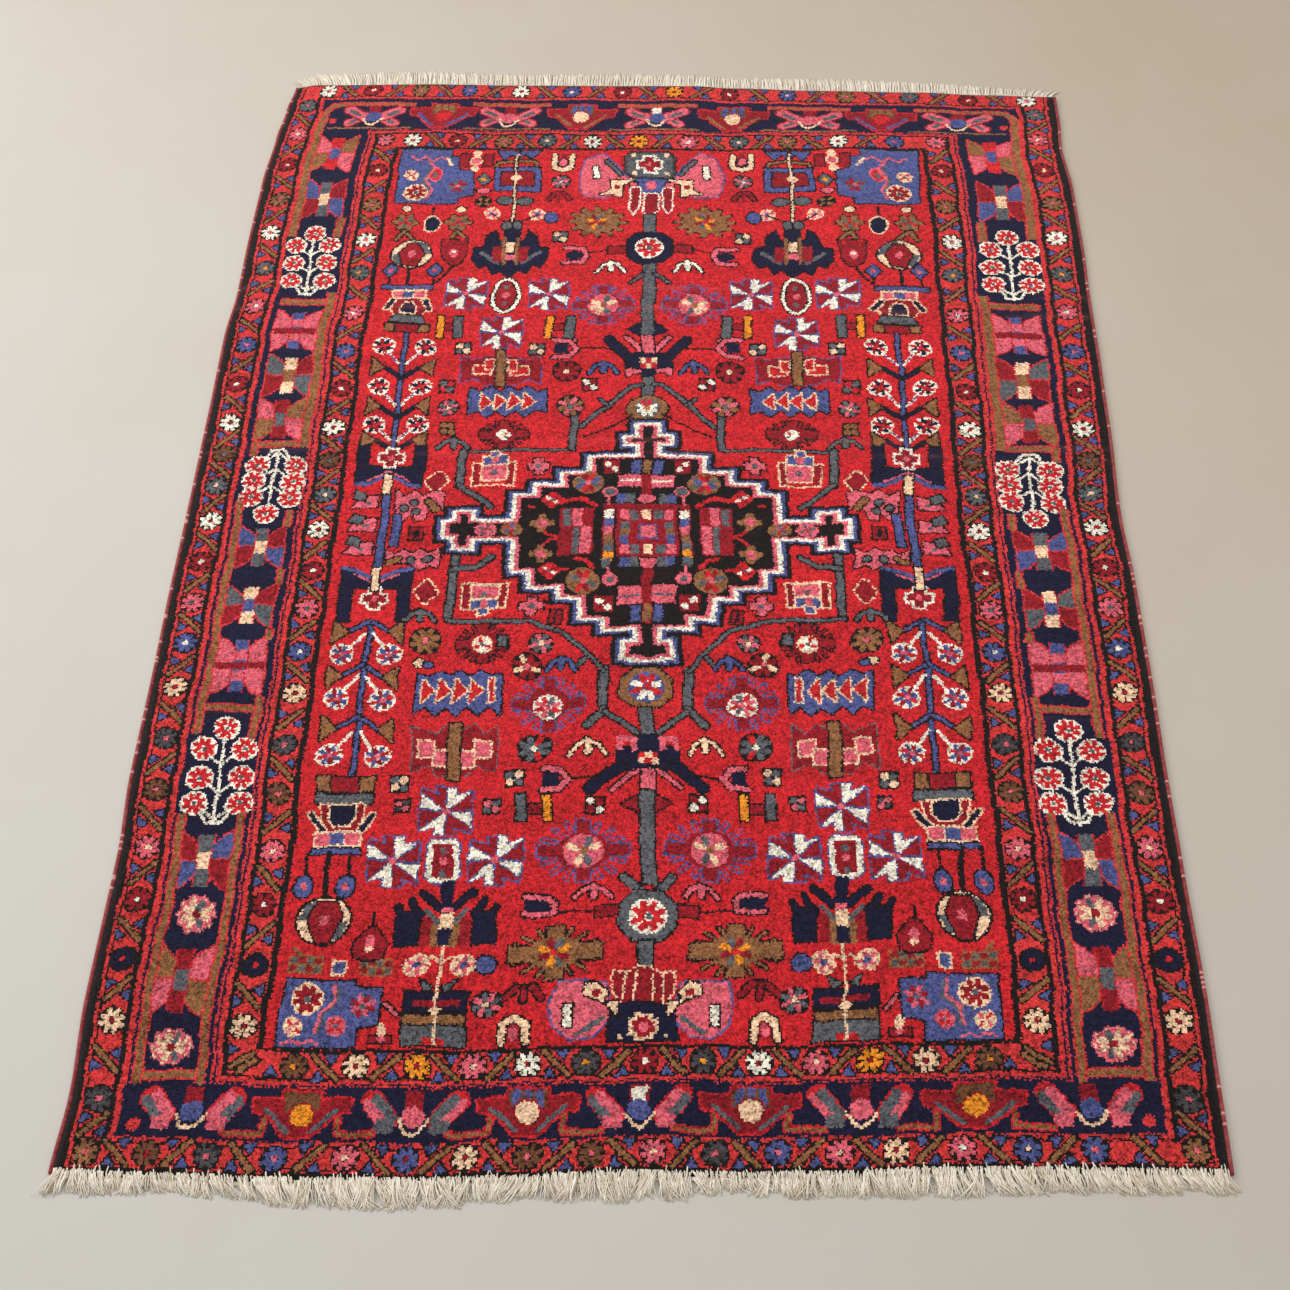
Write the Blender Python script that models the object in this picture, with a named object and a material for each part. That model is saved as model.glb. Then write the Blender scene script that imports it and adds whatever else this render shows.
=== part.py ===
"""Hand-knotted oriental rug lying flat, in metres, +Z up and +Y along its length.

The knotted body is one slab with an uneven outline and a slightly uneven pile. A wrapped cord, the selvedge,
runs along each side, and a narrow woven strip with a fringe of warp ends closes each end. All pieces lie on
one level surface at z = 0, and neighbours stand a hair apart.
"""

import math
import random

import bmesh
import bpy
from mathutils import Vector

# Knotted body
BODY_WIDTH = 1.470
BODY_LENGTH = 2.140
PILE_HEIGHT = 0.0090
PILE_EDGE_HEIGHT = 0.0055
PILE_EDGE_ROUND = 0.0060
PILE_EDGE_STEP = 0.35
PILE_UNEVENNESS = 0.0007
BODY_COLUMNS = 20
BODY_ROWS = 28
PIECE_GAP = 0.0003
WOOL_RED = (0.48, 0.03, 0.045)
WOOL_ROUGHNESS = 0.95

# Slow swells of the pile: turns along and across a metre, phase, weight
PILE_SWELLS = (
    (9.0, 2.2, 0.0, 0.6),
    (-3.5, 5.0, 1.0, 0.4),
)

# Side cords
SELVEDGE_WIDTH = 0.0065
SELVEDGE_HEIGHT = 0.0072
SELVEDGE_WALL_SHARE = 0.35
SELVEDGE_ARC_POINTS = 6
SELVEDGE_GAP = 0.0004
SELVEDGE_RED = (0.32, 0.02, 0.04)

# Fringes
STRANDS_AN_END = 144
STRIP_WIDTH = 0.0055
STRIP_HEIGHT = 0.0030
STRAND_ROOT_SHARE = 0.56
STRAND_TIP_SHARE = 0.20
STRAND_TIP_HEIGHT = 0.0014
STRAND_STEPS = 2
STRAND_LEAN_CURVE = 1.5
NEAR_SEED = 11
FAR_SEED = 23
FRINGE_IVORY = (0.80, 0.76, 0.68)
YARN_ROUGHNESS = 0.9
OUTWARD_LEAST = 0.5

# How far each side strays from a straight line: place along the length, left shift, right shift (towards +X)
SIDE_SHAPE = (
    (-1.070, 0.003, -0.005),
    (-0.970, 0.008, -0.004),
    (-0.830, 0.001, -0.002),
    (-0.620, 0.002, -0.005),
    (-0.480, -0.005, -0.006),
    (-0.340, -0.005, -0.005),
    (-0.130, -0.007, -0.006),
    (0.010, -0.007, -0.011),
    (0.220, -0.008, -0.005),
    (0.400, -0.010, -0.003),
    (0.500, -0.004, -0.003),
    (0.640, -0.005, 0.000),
    (0.800, -0.003, -0.001),
    (0.920, 0.005, -0.009),
    (1.000, 0.013, -0.005),
    (1.070, 0.022, -0.005),
)

# How far each end strays from a straight line: place across the width, shift towards +Y
NEAR_SHAPE = (
    (-0.735, -0.020),
    (-0.600, -0.023),
    (-0.440, -0.026),
    (-0.280, -0.024),
    (-0.160, -0.019),
    (-0.080, -0.013),
    (0.000, -0.009),
    (0.120, -0.009),
    (0.240, -0.006),
    (0.360, 0.001),
    (0.500, 0.004),
    (0.735, 0.005),
)
FAR_SHAPE = (
    (-0.735, -0.002),
    (-0.700, 0.006),
    (-0.660, 0.006),
    (-0.480, 0.009),
    (-0.280, 0.005),
    (-0.080, 0.004),
    (0.040, 0.004),
    (0.120, -0.003),
    (0.280, -0.010),
    (0.480, -0.015),
    (0.600, -0.023),
    (0.735, -0.028),
)

# Fringe shape: place across the width, strand length, sideways lean of a tip for its length
NEAR_FRINGE = (
    (-0.735, 0.026, -0.10),
    (-0.600, 0.018, 0.50),
    (-0.440, 0.028, 0.45),
    (-0.300, 0.033, 0.15),
    (-0.150, 0.024, -0.35),
    (-0.060, 0.029, 0.10),
    (0.060, 0.028, 0.20),
    (0.110, 0.017, 0.45),
    (0.220, 0.026, 0.05),
    (0.400, 0.031, 0.30),
    (0.560, 0.024, 0.40),
    (0.735, 0.023, 0.60),
)
FAR_FRINGE = (
    (-0.735, 0.022, -0.70),
    (-0.680, 0.036, -0.45),
    (-0.560, 0.043, -0.12),
    (-0.300, 0.038, -0.05),
    (-0.100, 0.040, 0.04),
    (0.120, 0.036, 0.02),
    (0.300, 0.040, -0.06),
    (0.520, 0.034, 0.05),
    (0.640, 0.028, 0.10),
    (0.735, 0.022, 0.75),
)
LENGTH_CHANGE = 0.0035
LEAN_CHANGE = 0.05

COLLECTION_NAME = "oriental_rug"
GUIDE_COLLECTION_NAME = "guides"


def clear_scene():
    for thing in list(bpy.data.objects):
        bpy.data.objects.remove(thing, do_unlink=True)


def make_collection(name):
    collection = bpy.data.collections.new(name)
    bpy.context.scene.collection.children.link(collection)
    return collection


def make_material(name, colour, roughness):
    material = bpy.data.materials.new(name)
    material.use_nodes = True
    shader = material.node_tree.nodes["Principled BSDF"]
    shader.inputs["Base Color"].default_value = (*colour, 1.0)
    shader.inputs["Roughness"].default_value = roughness
    shader.inputs["Metallic"].default_value = 0.0
    return material


def read_table(table, place, column):
    """Value of a table's column at a place, eased smoothly between its rows."""
    if place <= table[0][0]:
        return table[0][column]
    for lower, upper in zip(table, table[1:]):
        if place <= upper[0]:
            share = (place - lower[0]) / (upper[0] - lower[0])
            eased = share * share * (3 - 2 * share)
            return lower[column] + (upper[column] - lower[column]) * eased
    return table[-1][column]


def on_plan(across, along):
    """Carries a point of the ideal rectangle onto the uneven rug."""
    share_across = across / BODY_WIDTH + 0.5
    share_along = along / BODY_LENGTH + 0.5
    left = read_table(SIDE_SHAPE, along, 1)
    right = read_table(SIDE_SHAPE, along, 2)
    near = read_table(NEAR_SHAPE, across, 1)
    far = read_table(FAR_SHAPE, across, 1)
    return (
        across + left + (right - left) * share_across,
        along + near + (far - near) * share_along,
    )


def grid_places(length, count):
    """Even places along a length, with one close step more inside each edge for its rounding."""
    inner = length - 2 * PILE_EDGE_ROUND
    even = [-inner / 2 + inner * step / count for step in range(count + 1)]
    edge = length / 2
    middle = edge - PILE_EDGE_ROUND * PILE_EDGE_STEP
    return [-edge, -middle, *even, middle, edge]


def pile_height(across, along):
    """Height of the pile, rounded down towards the edges and a little uneven elsewhere."""
    inside = min(BODY_WIDTH / 2 - abs(across), BODY_LENGTH / 2 - abs(along), PILE_EDGE_ROUND)
    fall = 1 - inside / PILE_EDGE_ROUND
    rounded = PILE_EDGE_HEIGHT + (PILE_HEIGHT - PILE_EDGE_HEIGHT) * math.sqrt(max(0.0, 1 - fall * fall))
    swell = sum(weight * math.sin(lengthwise * along + crosswise * across + phase)
                for lengthwise, crosswise, phase, weight in PILE_SWELLS)
    return rounded + PILE_UNEVENNESS * swell * (1 - fall)


def mesh_object(name, mesh_data, material, collection, parent):
    mesh = bpy.data.meshes.new(name)
    mesh_data.to_mesh(mesh)
    mesh_data.free()
    mesh.materials.append(material)
    piece = bpy.data.objects.new(name, mesh)
    collection.objects.link(piece)
    piece.parent = parent
    return piece


def make_body(collection, parent, across_places, along_places):
    """The knotted slab: a grid carried onto the plan, raised to the height of the pile."""
    columns = len(across_places) - 1
    rows = len(along_places) - 1
    slab = bmesh.new()
    bmesh.ops.create_grid(slab, x_segments=columns, y_segments=rows, size=1.0)
    raised = bmesh.ops.extrude_face_region(slab, geom=slab.faces[:])
    upper = {item for item in raised["geom"] if isinstance(item, bmesh.types.BMVert)}
    for vertex in slab.verts:
        across = across_places[round((vertex.co.x + 1) / 2 * columns)]
        along = along_places[round((vertex.co.y + 1) / 2 * rows)]
        height = pile_height(across, along) if vertex in upper else 0.0
        vertex.co = (*on_plan(across, along), height)
    bmesh.ops.recalc_face_normals(slab, faces=slab.faces[:])
    material = make_material("knotted_wool", WOOL_RED, WOOL_ROUGHNESS)
    return mesh_object("rug_body", slab, material, collection, parent)


def make_profile(collection):
    """Section of a selvedge: a rounded top over a flat underside."""
    points = [(-SELVEDGE_WIDTH / 2, 0.0)]
    for step in range(SELVEDGE_ARC_POINTS):
        angle = math.pi * step / (SELVEDGE_ARC_POINTS - 1)
        rise = SELVEDGE_HEIGHT * (SELVEDGE_WALL_SHARE + (1 - SELVEDGE_WALL_SHARE) * math.sin(angle))
        points.append((-math.cos(angle) * SELVEDGE_WIDTH / 2, rise))
    points.append((SELVEDGE_WIDTH / 2, 0.0))
    outline = bpy.data.curves.new("selvedge_section", "CURVE")
    outline.dimensions = "2D"
    spline = outline.splines.new("POLY")
    spline.points.add(len(points) - 1)
    for point, (x, y) in zip(spline.points, points):
        point.co = (x, y, 0.0, 1.0)
    spline.use_cyclic_u = True
    guide = bpy.data.objects.new("selvedge_section", outline)
    guide.hide_render = True
    guide.display_type = "WIRE"
    collection.objects.link(guide)
    return guide


def make_selvedge(name, side, profile, collection, parent, along_places):
    """One side cord, swept along the body's edge from end to end."""
    cord = bpy.data.curves.new(name, "CURVE")
    cord.dimensions = "2D"
    cord.bevel_mode = "OBJECT"
    cord.bevel_object = profile
    cord.use_fill_caps = True
    spline = cord.splines.new("POLY")
    spline.points.add(len(along_places) - 1)
    offset = side * (SELVEDGE_GAP + SELVEDGE_WIDTH / 2)
    for point, along in zip(spline.points, along_places):
        x, y = on_plan(side * BODY_WIDTH / 2, along)
        point.co = (x + offset, y, 0.0, 1.0)
    cord.materials.append(make_material(name, SELVEDGE_RED, YARN_ROUGHNESS))
    piece = bpy.data.objects.new(name, cord)
    collection.objects.link(piece)
    piece.parent = parent
    return piece


def end_edge(across, end, across_places):
    """Point of the body's faceted end edge, at a place across the width."""
    for lower, upper in zip(across_places, across_places[1:]):
        if across <= upper:
            share = (across - lower) / (upper - lower)
            start = Vector(on_plan(lower, end * BODY_LENGTH / 2))
            stop = Vector(on_plan(upper, end * BODY_LENGTH / 2))
            return start.lerp(stop, max(0.0, share))
    return Vector(on_plan(across, end * BODY_LENGTH / 2))


def make_fringe(name, end, shape, seed, collection, parent, across_places):
    """One end: a woven strip along the body's edge, with each strand drawn out of the strip's outer side."""
    chance = random.Random(seed)
    pitch = BODY_WIDTH / STRANDS_AN_END
    root = pitch * STRAND_ROOT_SHARE
    borders = [-BODY_WIDTH / 2]
    for number in range(STRANDS_AN_END):
        middle = -BODY_WIDTH / 2 + pitch * (number + 0.5)
        borders.append(middle - root / 2)
        borders.append(middle + root / 2)
    borders.append(BODY_WIDTH / 2)
    fringe = bmesh.new()
    bmesh.ops.create_grid(fringe, x_segments=len(borders) - 1, y_segments=1, size=1.0)
    for vertex in fringe.verts:
        across = borders[round((vertex.co.x + 1) / 2 * (len(borders) - 1))]
        x, y = end_edge(across, end, across_places)
        outer = vertex.co.y * end > 0
        vertex.co = (x, y + end * (PIECE_GAP + (STRIP_WIDTH if outer else 0.0)), 0.0)
    raised = bmesh.ops.extrude_face_region(fringe, geom=fringe.faces[:])
    for item in raised["geom"]:
        if isinstance(item, bmesh.types.BMVert):
            item.co.z = STRIP_HEIGHT
    bmesh.ops.recalc_face_normals(fringe, faces=fringe.faces[:])
    fringe.normal_update()
    roots = [face for face in fringe.faces
             if face.normal.y * end > OUTWARD_LEAST and face_width(face) > pitch / 2]
    for face in sorted(roots, key=lambda face: face.calc_center_median().x):
        draw_strand(fringe, face, end, shape, root, chance)
    bmesh.ops.recalc_face_normals(fringe, faces=fringe.faces[:])
    material = make_material(name, FRINGE_IVORY, YARN_ROUGHNESS)
    return mesh_object(name, fringe, material, collection, parent)


def face_width(face):
    reach = [vertex.co.x for vertex in face.verts]
    return max(reach) - min(reach)


def draw_strand(fringe, face, end, shape, root, chance):
    """Draws one strand out of its root face, thinner and lower towards the tip, level on the floor."""
    centre = face.calc_center_median()
    length = read_table(shape, centre.x, 1) + chance.uniform(-LENGTH_CHANGE, LENGTH_CHANGE)
    lean = read_table(shape, centre.x, 2) + chance.uniform(-LEAN_CHANGE, LEAN_CHANGE)
    for step in range(1, STRAND_STEPS + 1):
        share = step / STRAND_STEPS
        drawn = bmesh.ops.extrude_discrete_faces(fringe, faces=[face])
        face = drawn["faces"][0]
        width = root * (1 + (STRAND_TIP_SHARE - 1) * share)
        height = STRIP_HEIGHT + (STRAND_TIP_HEIGHT - STRIP_HEIGHT) * share
        middle = face.calc_center_median()
        for vertex in face.verts:
            side = 1 if vertex.co.x > middle.x else -1
            vertex.co.x = centre.x + lean * length * share ** STRAND_LEAN_CURVE + side * width / 2
            vertex.co.y = centre.y + end * length * share
            if vertex.co.z > middle.z:
                vertex.co.z = height


def centre_over_origin(parent, pieces):
    """Moves the whole rug so that the middle of its box is at the origin."""
    bpy.context.view_layer.update()
    viewed = bpy.context.evaluated_depsgraph_get()
    corners = []
    for piece in pieces:
        shown = piece.evaluated_get(viewed)
        mesh = shown.to_mesh()
        corners += [tuple(shown.matrix_world @ vertex.co) for vertex in mesh.vertices]
        shown.to_mesh_clear()
    for axis in (0, 1):
        reach = [corner[axis] for corner in corners]
        parent.location[axis] = -(min(reach) + max(reach)) / 2


def main():
    clear_scene()
    rug = make_collection(COLLECTION_NAME)
    guides = make_collection(GUIDE_COLLECTION_NAME)
    parent = bpy.data.objects.new("rug_centre", None)
    rug.objects.link(parent)
    across_places = grid_places(BODY_WIDTH, BODY_COLUMNS)
    along_places = grid_places(BODY_LENGTH, BODY_ROWS)
    profile = make_profile(guides)
    pieces = [
        make_body(rug, parent, across_places, along_places),
        make_selvedge("selvedge_left", -1, profile, rug, parent, along_places),
        make_selvedge("selvedge_right", 1, profile, rug, parent, along_places),
        make_fringe("fringe_near", -1, NEAR_FRINGE, NEAR_SEED, rug, parent, across_places),
        make_fringe("fringe_far", 1, FAR_FRINGE, FAR_SEED, rug, parent, across_places),
    ]
    centre_over_origin(parent, pieces)


main()
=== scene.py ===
"""Looks of a hand-knotted oriental rug: the knotted pattern, the wrapped side cords and the warp fringes.

The pattern is a knot chart. It is drawn shape by shape in an ideal, mirror-symmetric design in centimetres,
and then drifts sideways and along as the woven rug does. Three by three knots share one quad of the pile.
"""

import math

import bpy
import numpy as np
from mathutils import Matrix, Vector


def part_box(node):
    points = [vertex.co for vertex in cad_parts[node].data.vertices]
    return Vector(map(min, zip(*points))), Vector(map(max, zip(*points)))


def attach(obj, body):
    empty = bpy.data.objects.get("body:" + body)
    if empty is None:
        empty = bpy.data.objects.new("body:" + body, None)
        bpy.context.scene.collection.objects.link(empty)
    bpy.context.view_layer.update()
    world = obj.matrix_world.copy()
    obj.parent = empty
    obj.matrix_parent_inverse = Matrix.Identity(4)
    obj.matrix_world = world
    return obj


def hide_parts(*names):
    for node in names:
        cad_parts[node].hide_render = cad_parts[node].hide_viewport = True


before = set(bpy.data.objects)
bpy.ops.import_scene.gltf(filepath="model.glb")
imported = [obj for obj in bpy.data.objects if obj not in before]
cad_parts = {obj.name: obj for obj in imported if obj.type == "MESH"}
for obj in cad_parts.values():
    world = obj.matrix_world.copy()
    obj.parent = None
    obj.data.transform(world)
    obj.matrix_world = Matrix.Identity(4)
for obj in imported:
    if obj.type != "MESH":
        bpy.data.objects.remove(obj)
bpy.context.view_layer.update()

# Body, as in the part's source, in metres
BODY_WIDTH = 1.470
BODY_LENGTH = 2.140
PILE_HEIGHT = 0.0090
PILE_EDGE_HEIGHT = 0.0055
PILE_EDGE_ROUND = 0.0060
PILE_UNEVENNESS = 0.0007
PILE_SWELLS = (
    (9.0, 2.2, 0.0, 0.6),
    (-3.5, 5.0, 1.0, 0.4),
)
PILE_RELIEF = 0.00018
SELVEDGE_WIDTH = 0.0065
SELVEDGE_HEIGHT = 0.0072
SELVEDGE_GAP = 0.0004
STRIP_WIDTH = 0.0055
STRIP_HEIGHT = 0.0030
PIECE_GAP = 0.0003

# How far each side and end strays: place, shift of the lower side, shift of the upper side
SIDE_SHAPE = (
    (-1.070, 0.003, -0.005), (-0.970, 0.008, -0.004), (-0.830, 0.001, -0.002), (-0.620, 0.002, -0.005),
    (-0.480, -0.005, -0.006), (-0.340, -0.005, -0.005), (-0.130, -0.007, -0.006), (0.010, -0.007, -0.011),
    (0.220, -0.008, -0.005), (0.400, -0.010, -0.003), (0.500, -0.004, -0.003), (0.640, -0.005, 0.000),
    (0.800, -0.003, -0.001), (0.920, 0.005, -0.009), (1.000, 0.013, -0.005), (1.070, 0.022, -0.005),
)
NEAR_SHAPE = (
    (-0.735, -0.020), (-0.600, -0.023), (-0.440, -0.026), (-0.280, -0.024), (-0.160, -0.019),
    (-0.080, -0.013),
    (0.000, -0.009), (0.120, -0.009), (0.240, -0.006), (0.360, 0.001), (0.500, 0.004), (0.735, 0.005),
)
FAR_SHAPE = (
    (-0.735, -0.002), (-0.700, 0.006), (-0.660, 0.006), (-0.480, 0.009), (-0.280, 0.005), (-0.080, 0.004),
    (0.040, 0.004), (0.120, -0.003), (0.280, -0.010), (0.480, -0.015), (0.600, -0.023), (0.735, -0.028),
)
# Fringe: place across the width, strand length, sideways lean of a tip for its length
NEAR_FRINGE = (
    (-0.735, 0.026, -0.10), (-0.600, 0.018, 0.50), (-0.440, 0.028, 0.45), (-0.300, 0.033, 0.15),
    (-0.150, 0.024, -0.35), (-0.060, 0.029, 0.10), (0.060, 0.028, 0.20), (0.110, 0.017, 0.45),
    (0.220, 0.026, 0.05), (0.400, 0.031, 0.30), (0.560, 0.024, 0.40), (0.735, 0.023, 0.60),
)
FAR_FRINGE = (
    (-0.735, 0.022, -0.70), (-0.680, 0.036, -0.45), (-0.560, 0.043, -0.12), (-0.300, 0.038, -0.05),
    (-0.100, 0.040, 0.04), (0.120, 0.036, 0.02), (0.300, 0.040, -0.06), (0.520, 0.034, 0.05),
    (0.640, 0.028, 0.10), (0.735, 0.022, 0.75),
)

# Knot chart. The colours are letters: R red, r dark red, C border red, N navy, K black, B blue, G grey,
# P pink, M camel, W white, E cream, O orange, D dark grey, T dark brown
QUADS_ACROSS = 210
QUADS_ALONG = 306
KNOTS_IN_QUAD = 3
# Outlines of motifs, in centimetres
RIM = 0.30
RAY_RIM = 0.25
PALETTE = {
    "R": (199, 34, 40),
    "r": (146, 24, 34),
    "C": (205, 53, 52),
    "N": (25, 23, 50),
    "K": (29, 20, 20),
    "B": (78, 84, 136),
    "G": (92, 93, 97),
    "P": (218, 94, 108),
    "M": (142, 94, 58),
    "W": (238, 228, 208),
    "E": (240, 198, 160),
    "O": (235, 142, 34),
    "D": (72, 66, 68),
    "T": (110, 68, 44),
}
LETTERS = list(PALETTE)
RAMP_STEPS = 16
WORN_ROWS = ((51.0, 0.5), (46.2, 0.6), (15.4, 0.5), (12.6, 0.4), (-38.0, 0.2))
WORN_WIDTH = 0.35
WORN_STRENGTH = 0.45
WORN_COLOUR = (232, 128, 122)

# Drift of the woven design: along, sideways shift of its middle
MIDDLE_DRIFT = (
    (-100.0, -0.2), (-87.0, 0.0), (-72.0, 0.5), (-60.0, 0.3), (-44.0, 0.25), (-36.0, -0.25), (-20.0, -0.4),
    (0.0, -0.6), (10.0, -0.9), (23.0, -1.3), (31.0, -1.35), (37.0, -1.75), (48.0, -2.0), (58.0, -2.3),
    (68.0, -2.35), (79.0, -2.5), (84.0, -2.85), (96.0, -2.5),
)
MIDDLE_BULGE = 0.45
DRIFT_ROUNDS = 3
# Along, how much higher the right side stands than the left
RIGHT_RISE = (
    (-100.0, 0.0), (-66.0, 0.3), (-15.0, 0.3), (0.0, 0.2), (20.0, 0.5), (40.0, 0.9), (60.0, 1.1),
    (80.0, 1.6), (90.0, 1.8), (97.0, 1.0), (104.0, 0.3),
)
RISE_FROM = 5.0
RISE_TO = 40.0

# Irregularity of hand knotting, in centimetres: slow waves (turns a centimetre, size, phase) and strays
HAND_WAVES = ((0.31, 0.13, 0.4), (0.83, 0.09, 1.7), (1.9, 0.05, 3.1))
KNOT_STRAY = 0.06
ROW_STRAY = 0.045

# Blades of a pinwheel in parts of its size: colour, rim, then a broad and a forked blade
PINWHEEL_BLADES = (
    ("r", 0.26, ((0.12, 0.04), (1.05, 0.90), (1.05, 0.02)),
     ((0.0, -0.1), (0.02, -1.12), (0.42, -1.12), (0.34, -0.76), (1.0, -1.0), (1.05, -0.74), (0.16, -0.1))),
    ("W", 0.2, ((0.14, -0.06), (1.08, -0.12), (1.02, -0.76)),
     ((0.04, 0.2), (0.04, 1.12), (0.42, 1.12), (0.36, 0.72), (1.02, 0.96), (0.52, 0.46), (0.16, 0.16))),
)

# Camera, in metres and radians on the plan of the rug
CAMERA_PLACE = (0.070, -1.937, 2.274)
CAMERA_YAW = -0.049
CAMERA_PITCH = 0.934
CAMERA_ROLL = -0.030
CAMERA_LENS = 52.5
CAMERA_SENSOR = 36.0


def read_table(table, place, column=1):
    """Values of a table's column at places, eased smoothly between its rows."""
    rows = np.array(table)
    place = np.asarray(place, float)
    index = np.clip(np.searchsorted(rows[:, 0], place) - 1, 0, len(rows) - 2)
    start = rows[index]
    stop = rows[index + 1]
    share = np.clip((place - start[..., 0]) / (stop[..., 0] - start[..., 0]), 0, 1)
    eased = share * share * (3 - 2 * share)
    return start[..., column] + (stop[..., column] - start[..., column]) * eased


def on_plan(across, along):
    """Carries points of the ideal rectangle onto the uneven rug."""
    share_across = across / BODY_WIDTH + 0.5
    share_along = along / BODY_LENGTH + 0.5
    left = read_table(SIDE_SHAPE, along, 1)
    right = read_table(SIDE_SHAPE, along, 2)
    near = read_table(NEAR_SHAPE, across)
    far = read_table(FAR_SHAPE, across)
    return across + left + (right - left) * share_across, along + near + (far - near) * share_along


def linear(colour):
    """A colour in screen values, as linear light."""
    return tuple((value / 255 / 12.92) if value <= 10 else ((value / 255 + 0.055) / 1.055) ** 2.4
                 for value in colour)


def opaque(colour):
    """A colour in screen values, as a shader's colour."""
    return (*linear(colour), 1.0)


class Chart:
    """Shapes are painted over one another onto the knots that they cover."""

    def __init__(self, across, along, knots):
        self.across = across
        self.along = along
        self.knots = knots
        self.lowest = along.min(axis=1)
        self.highest = along.max(axis=1)

    def rows(self, low, high):
        """The knot rows that reach into a stretch of the length."""
        hit = np.nonzero((self.highest >= low) & (self.lowest <= high))[0]
        if not len(hit):
            return slice(0, 0)
        return slice(hit[0], hit[-1] + 1)

    def fill(self, rows, mask, colour):
        self.knots[rows][mask] = LETTERS.index(colour)

    def box(self, colour, left, right, low, high, rim=None):
        if rim:
            self.box(rim, left - RIM, right + RIM, low - RIM, high + RIM)
        rows = self.rows(low, high)
        x = self.across[rows]
        y = self.along[rows]
        self.fill(rows, (x >= left) & (x <= right) & (y >= low) & (y <= high), colour)

    def oval(self, colour, x, y, wide, tall=None, rim=None):
        tall = tall or wide
        if rim:
            self.oval(rim, x, y, wide + RIM, tall + RIM)
        rows = self.rows(y - tall, y + tall)
        reach = ((self.across[rows] - x) / wide) ** 2 + ((self.along[rows] - y) / tall) ** 2
        self.fill(rows, reach <= 1, colour)

    def line(self, colour, points, width, rim=None):
        if rim:
            self.line(rim, points, width + 2 * RIM)
        for start, stop in zip(points, points[1:]):
            low = min(start[1], stop[1]) - width
            high = max(start[1], stop[1]) + width
            rows = self.rows(low, high)
            dx = stop[0] - start[0]
            dy = stop[1] - start[1]
            px = self.across[rows] - start[0]
            py = self.along[rows] - start[1]
            share = np.clip((px * dx + py * dy) / max(dx * dx + dy * dy, 1e-9), 0, 1)
            gap = np.hypot(px - share * dx, py - share * dy)
            self.fill(rows, gap <= width / 2, colour)

    def shape(self, colour, points, rim=None, rim_width=RIM):
        if rim:
            self.line(rim, [*points, points[0]], 2 * rim_width)
        heights = [point[1] for point in points]
        rows = self.rows(min(heights), max(heights))
        x = self.across[rows]
        y = self.along[rows]
        inside = np.zeros(x.shape, bool)
        for (x1, y1), (x2, y2) in zip(points, [*points[1:], points[0]]):
            if y1 == y2:
                continue
            crosses = (y1 > y) != (y2 > y)
            inside ^= crosses & (x < (x2 - x1) * (y - y1) / (y2 - y1) + x1)
        self.fill(rows, inside, colour)

    def burst(self, colour, x, y, wide, tall, lobes, depth, rim=None):
        """A round form with lobes, such as a gear-like flower."""
        rows = self.rows(y - tall - RIM, y + tall + RIM)
        dx = (self.across[rows] - x) / wide
        dy = (self.along[rows] - y) / tall
        reach = np.hypot(dx, dy)
        edge = 1 - depth * (0.5 - 0.5 * np.tanh(3 * np.cos(lobes * np.arctan2(dy, dx))))
        if rim:
            self.fill(rows, reach <= edge + RIM / min(wide, tall), rim)
        self.fill(rows, reach <= edge, colour)

    def rays(self, colour, x, y, wide, tall, rim, finger="R", arm=1.9):
        """A flower with four broad arms and slender outlined fingers between them."""
        for number in range(16):
            if number % 4:
                angle = math.pi / 8 * number
                tip = (x + wide * 0.94 * math.cos(angle), y + tall * 0.96 * math.sin(angle))
                root = (x + wide * 0.4 * math.cos(angle), y + tall * 0.4 * math.sin(angle))
                self.line(rim, [root, tip], 0.9)
                self.line(finger, [root, tip], 0.4)
        for paint, grow in ((rim, RAY_RIM), (colour, 0.0)):
            self.box(paint, x - wide - grow, x + wide + grow, y - arm / 2 - grow, y + arm / 2 + grow)
            self.box(paint, x - arm / 2 - grow, x + arm / 2 + grow, y - tall - grow, y + tall + grow)
        self.oval(colour, x, y, wide * 0.58, tall * 0.62)

    def rosette(self, x, y, size, petals, centre, ground="K", count=8, inner=0.22):
        """A round flower of short radial petals with gaps of the ground between them."""
        self.oval(ground, x, y, size * 1.06)
        width = size * min(0.40, 3.1 / count)
        for number in range(count):
            angle = 2 * math.pi * (number + 0.5) / count
            root = (x + size * 0.44 * math.cos(angle), y + size * 0.44 * math.sin(angle))
            tip = (x + size * 0.78 * math.cos(angle), y + size * 0.78 * math.sin(angle))
            self.line(petals[number % len(petals)], [root, tip], width)
        self.oval(centre, x, y, size * inner)

    def dice(self, x, y, first, second, half=1.25, ground="K"):
        """A dark square with four spots in two colours."""
        self.box(ground, x - half - 0.2, x + half + 0.2, y - half - 0.3, y + half + 0.3)
        for side in (-1, 1):
            for height in (-1, 1):
                colour = first if side == height else second
                self.oval(colour, x + side * half / 2, y + height * half / 2, half * 0.48)

    def pinwheel(self, x, y, size):
        """White and dark red blades by turns, the same after half a turn."""
        for colour, rim_width, *blades in PINWHEEL_BLADES:
            for side in (-1, 1):
                for blade in blades:
                    points = [(x + side * size * dx, y + side * size * dy) for dx, dy in blade]
                    self.shape(colour, points, "B", rim_width)
        self.oval("P", x, y, size * 0.16)

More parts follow.
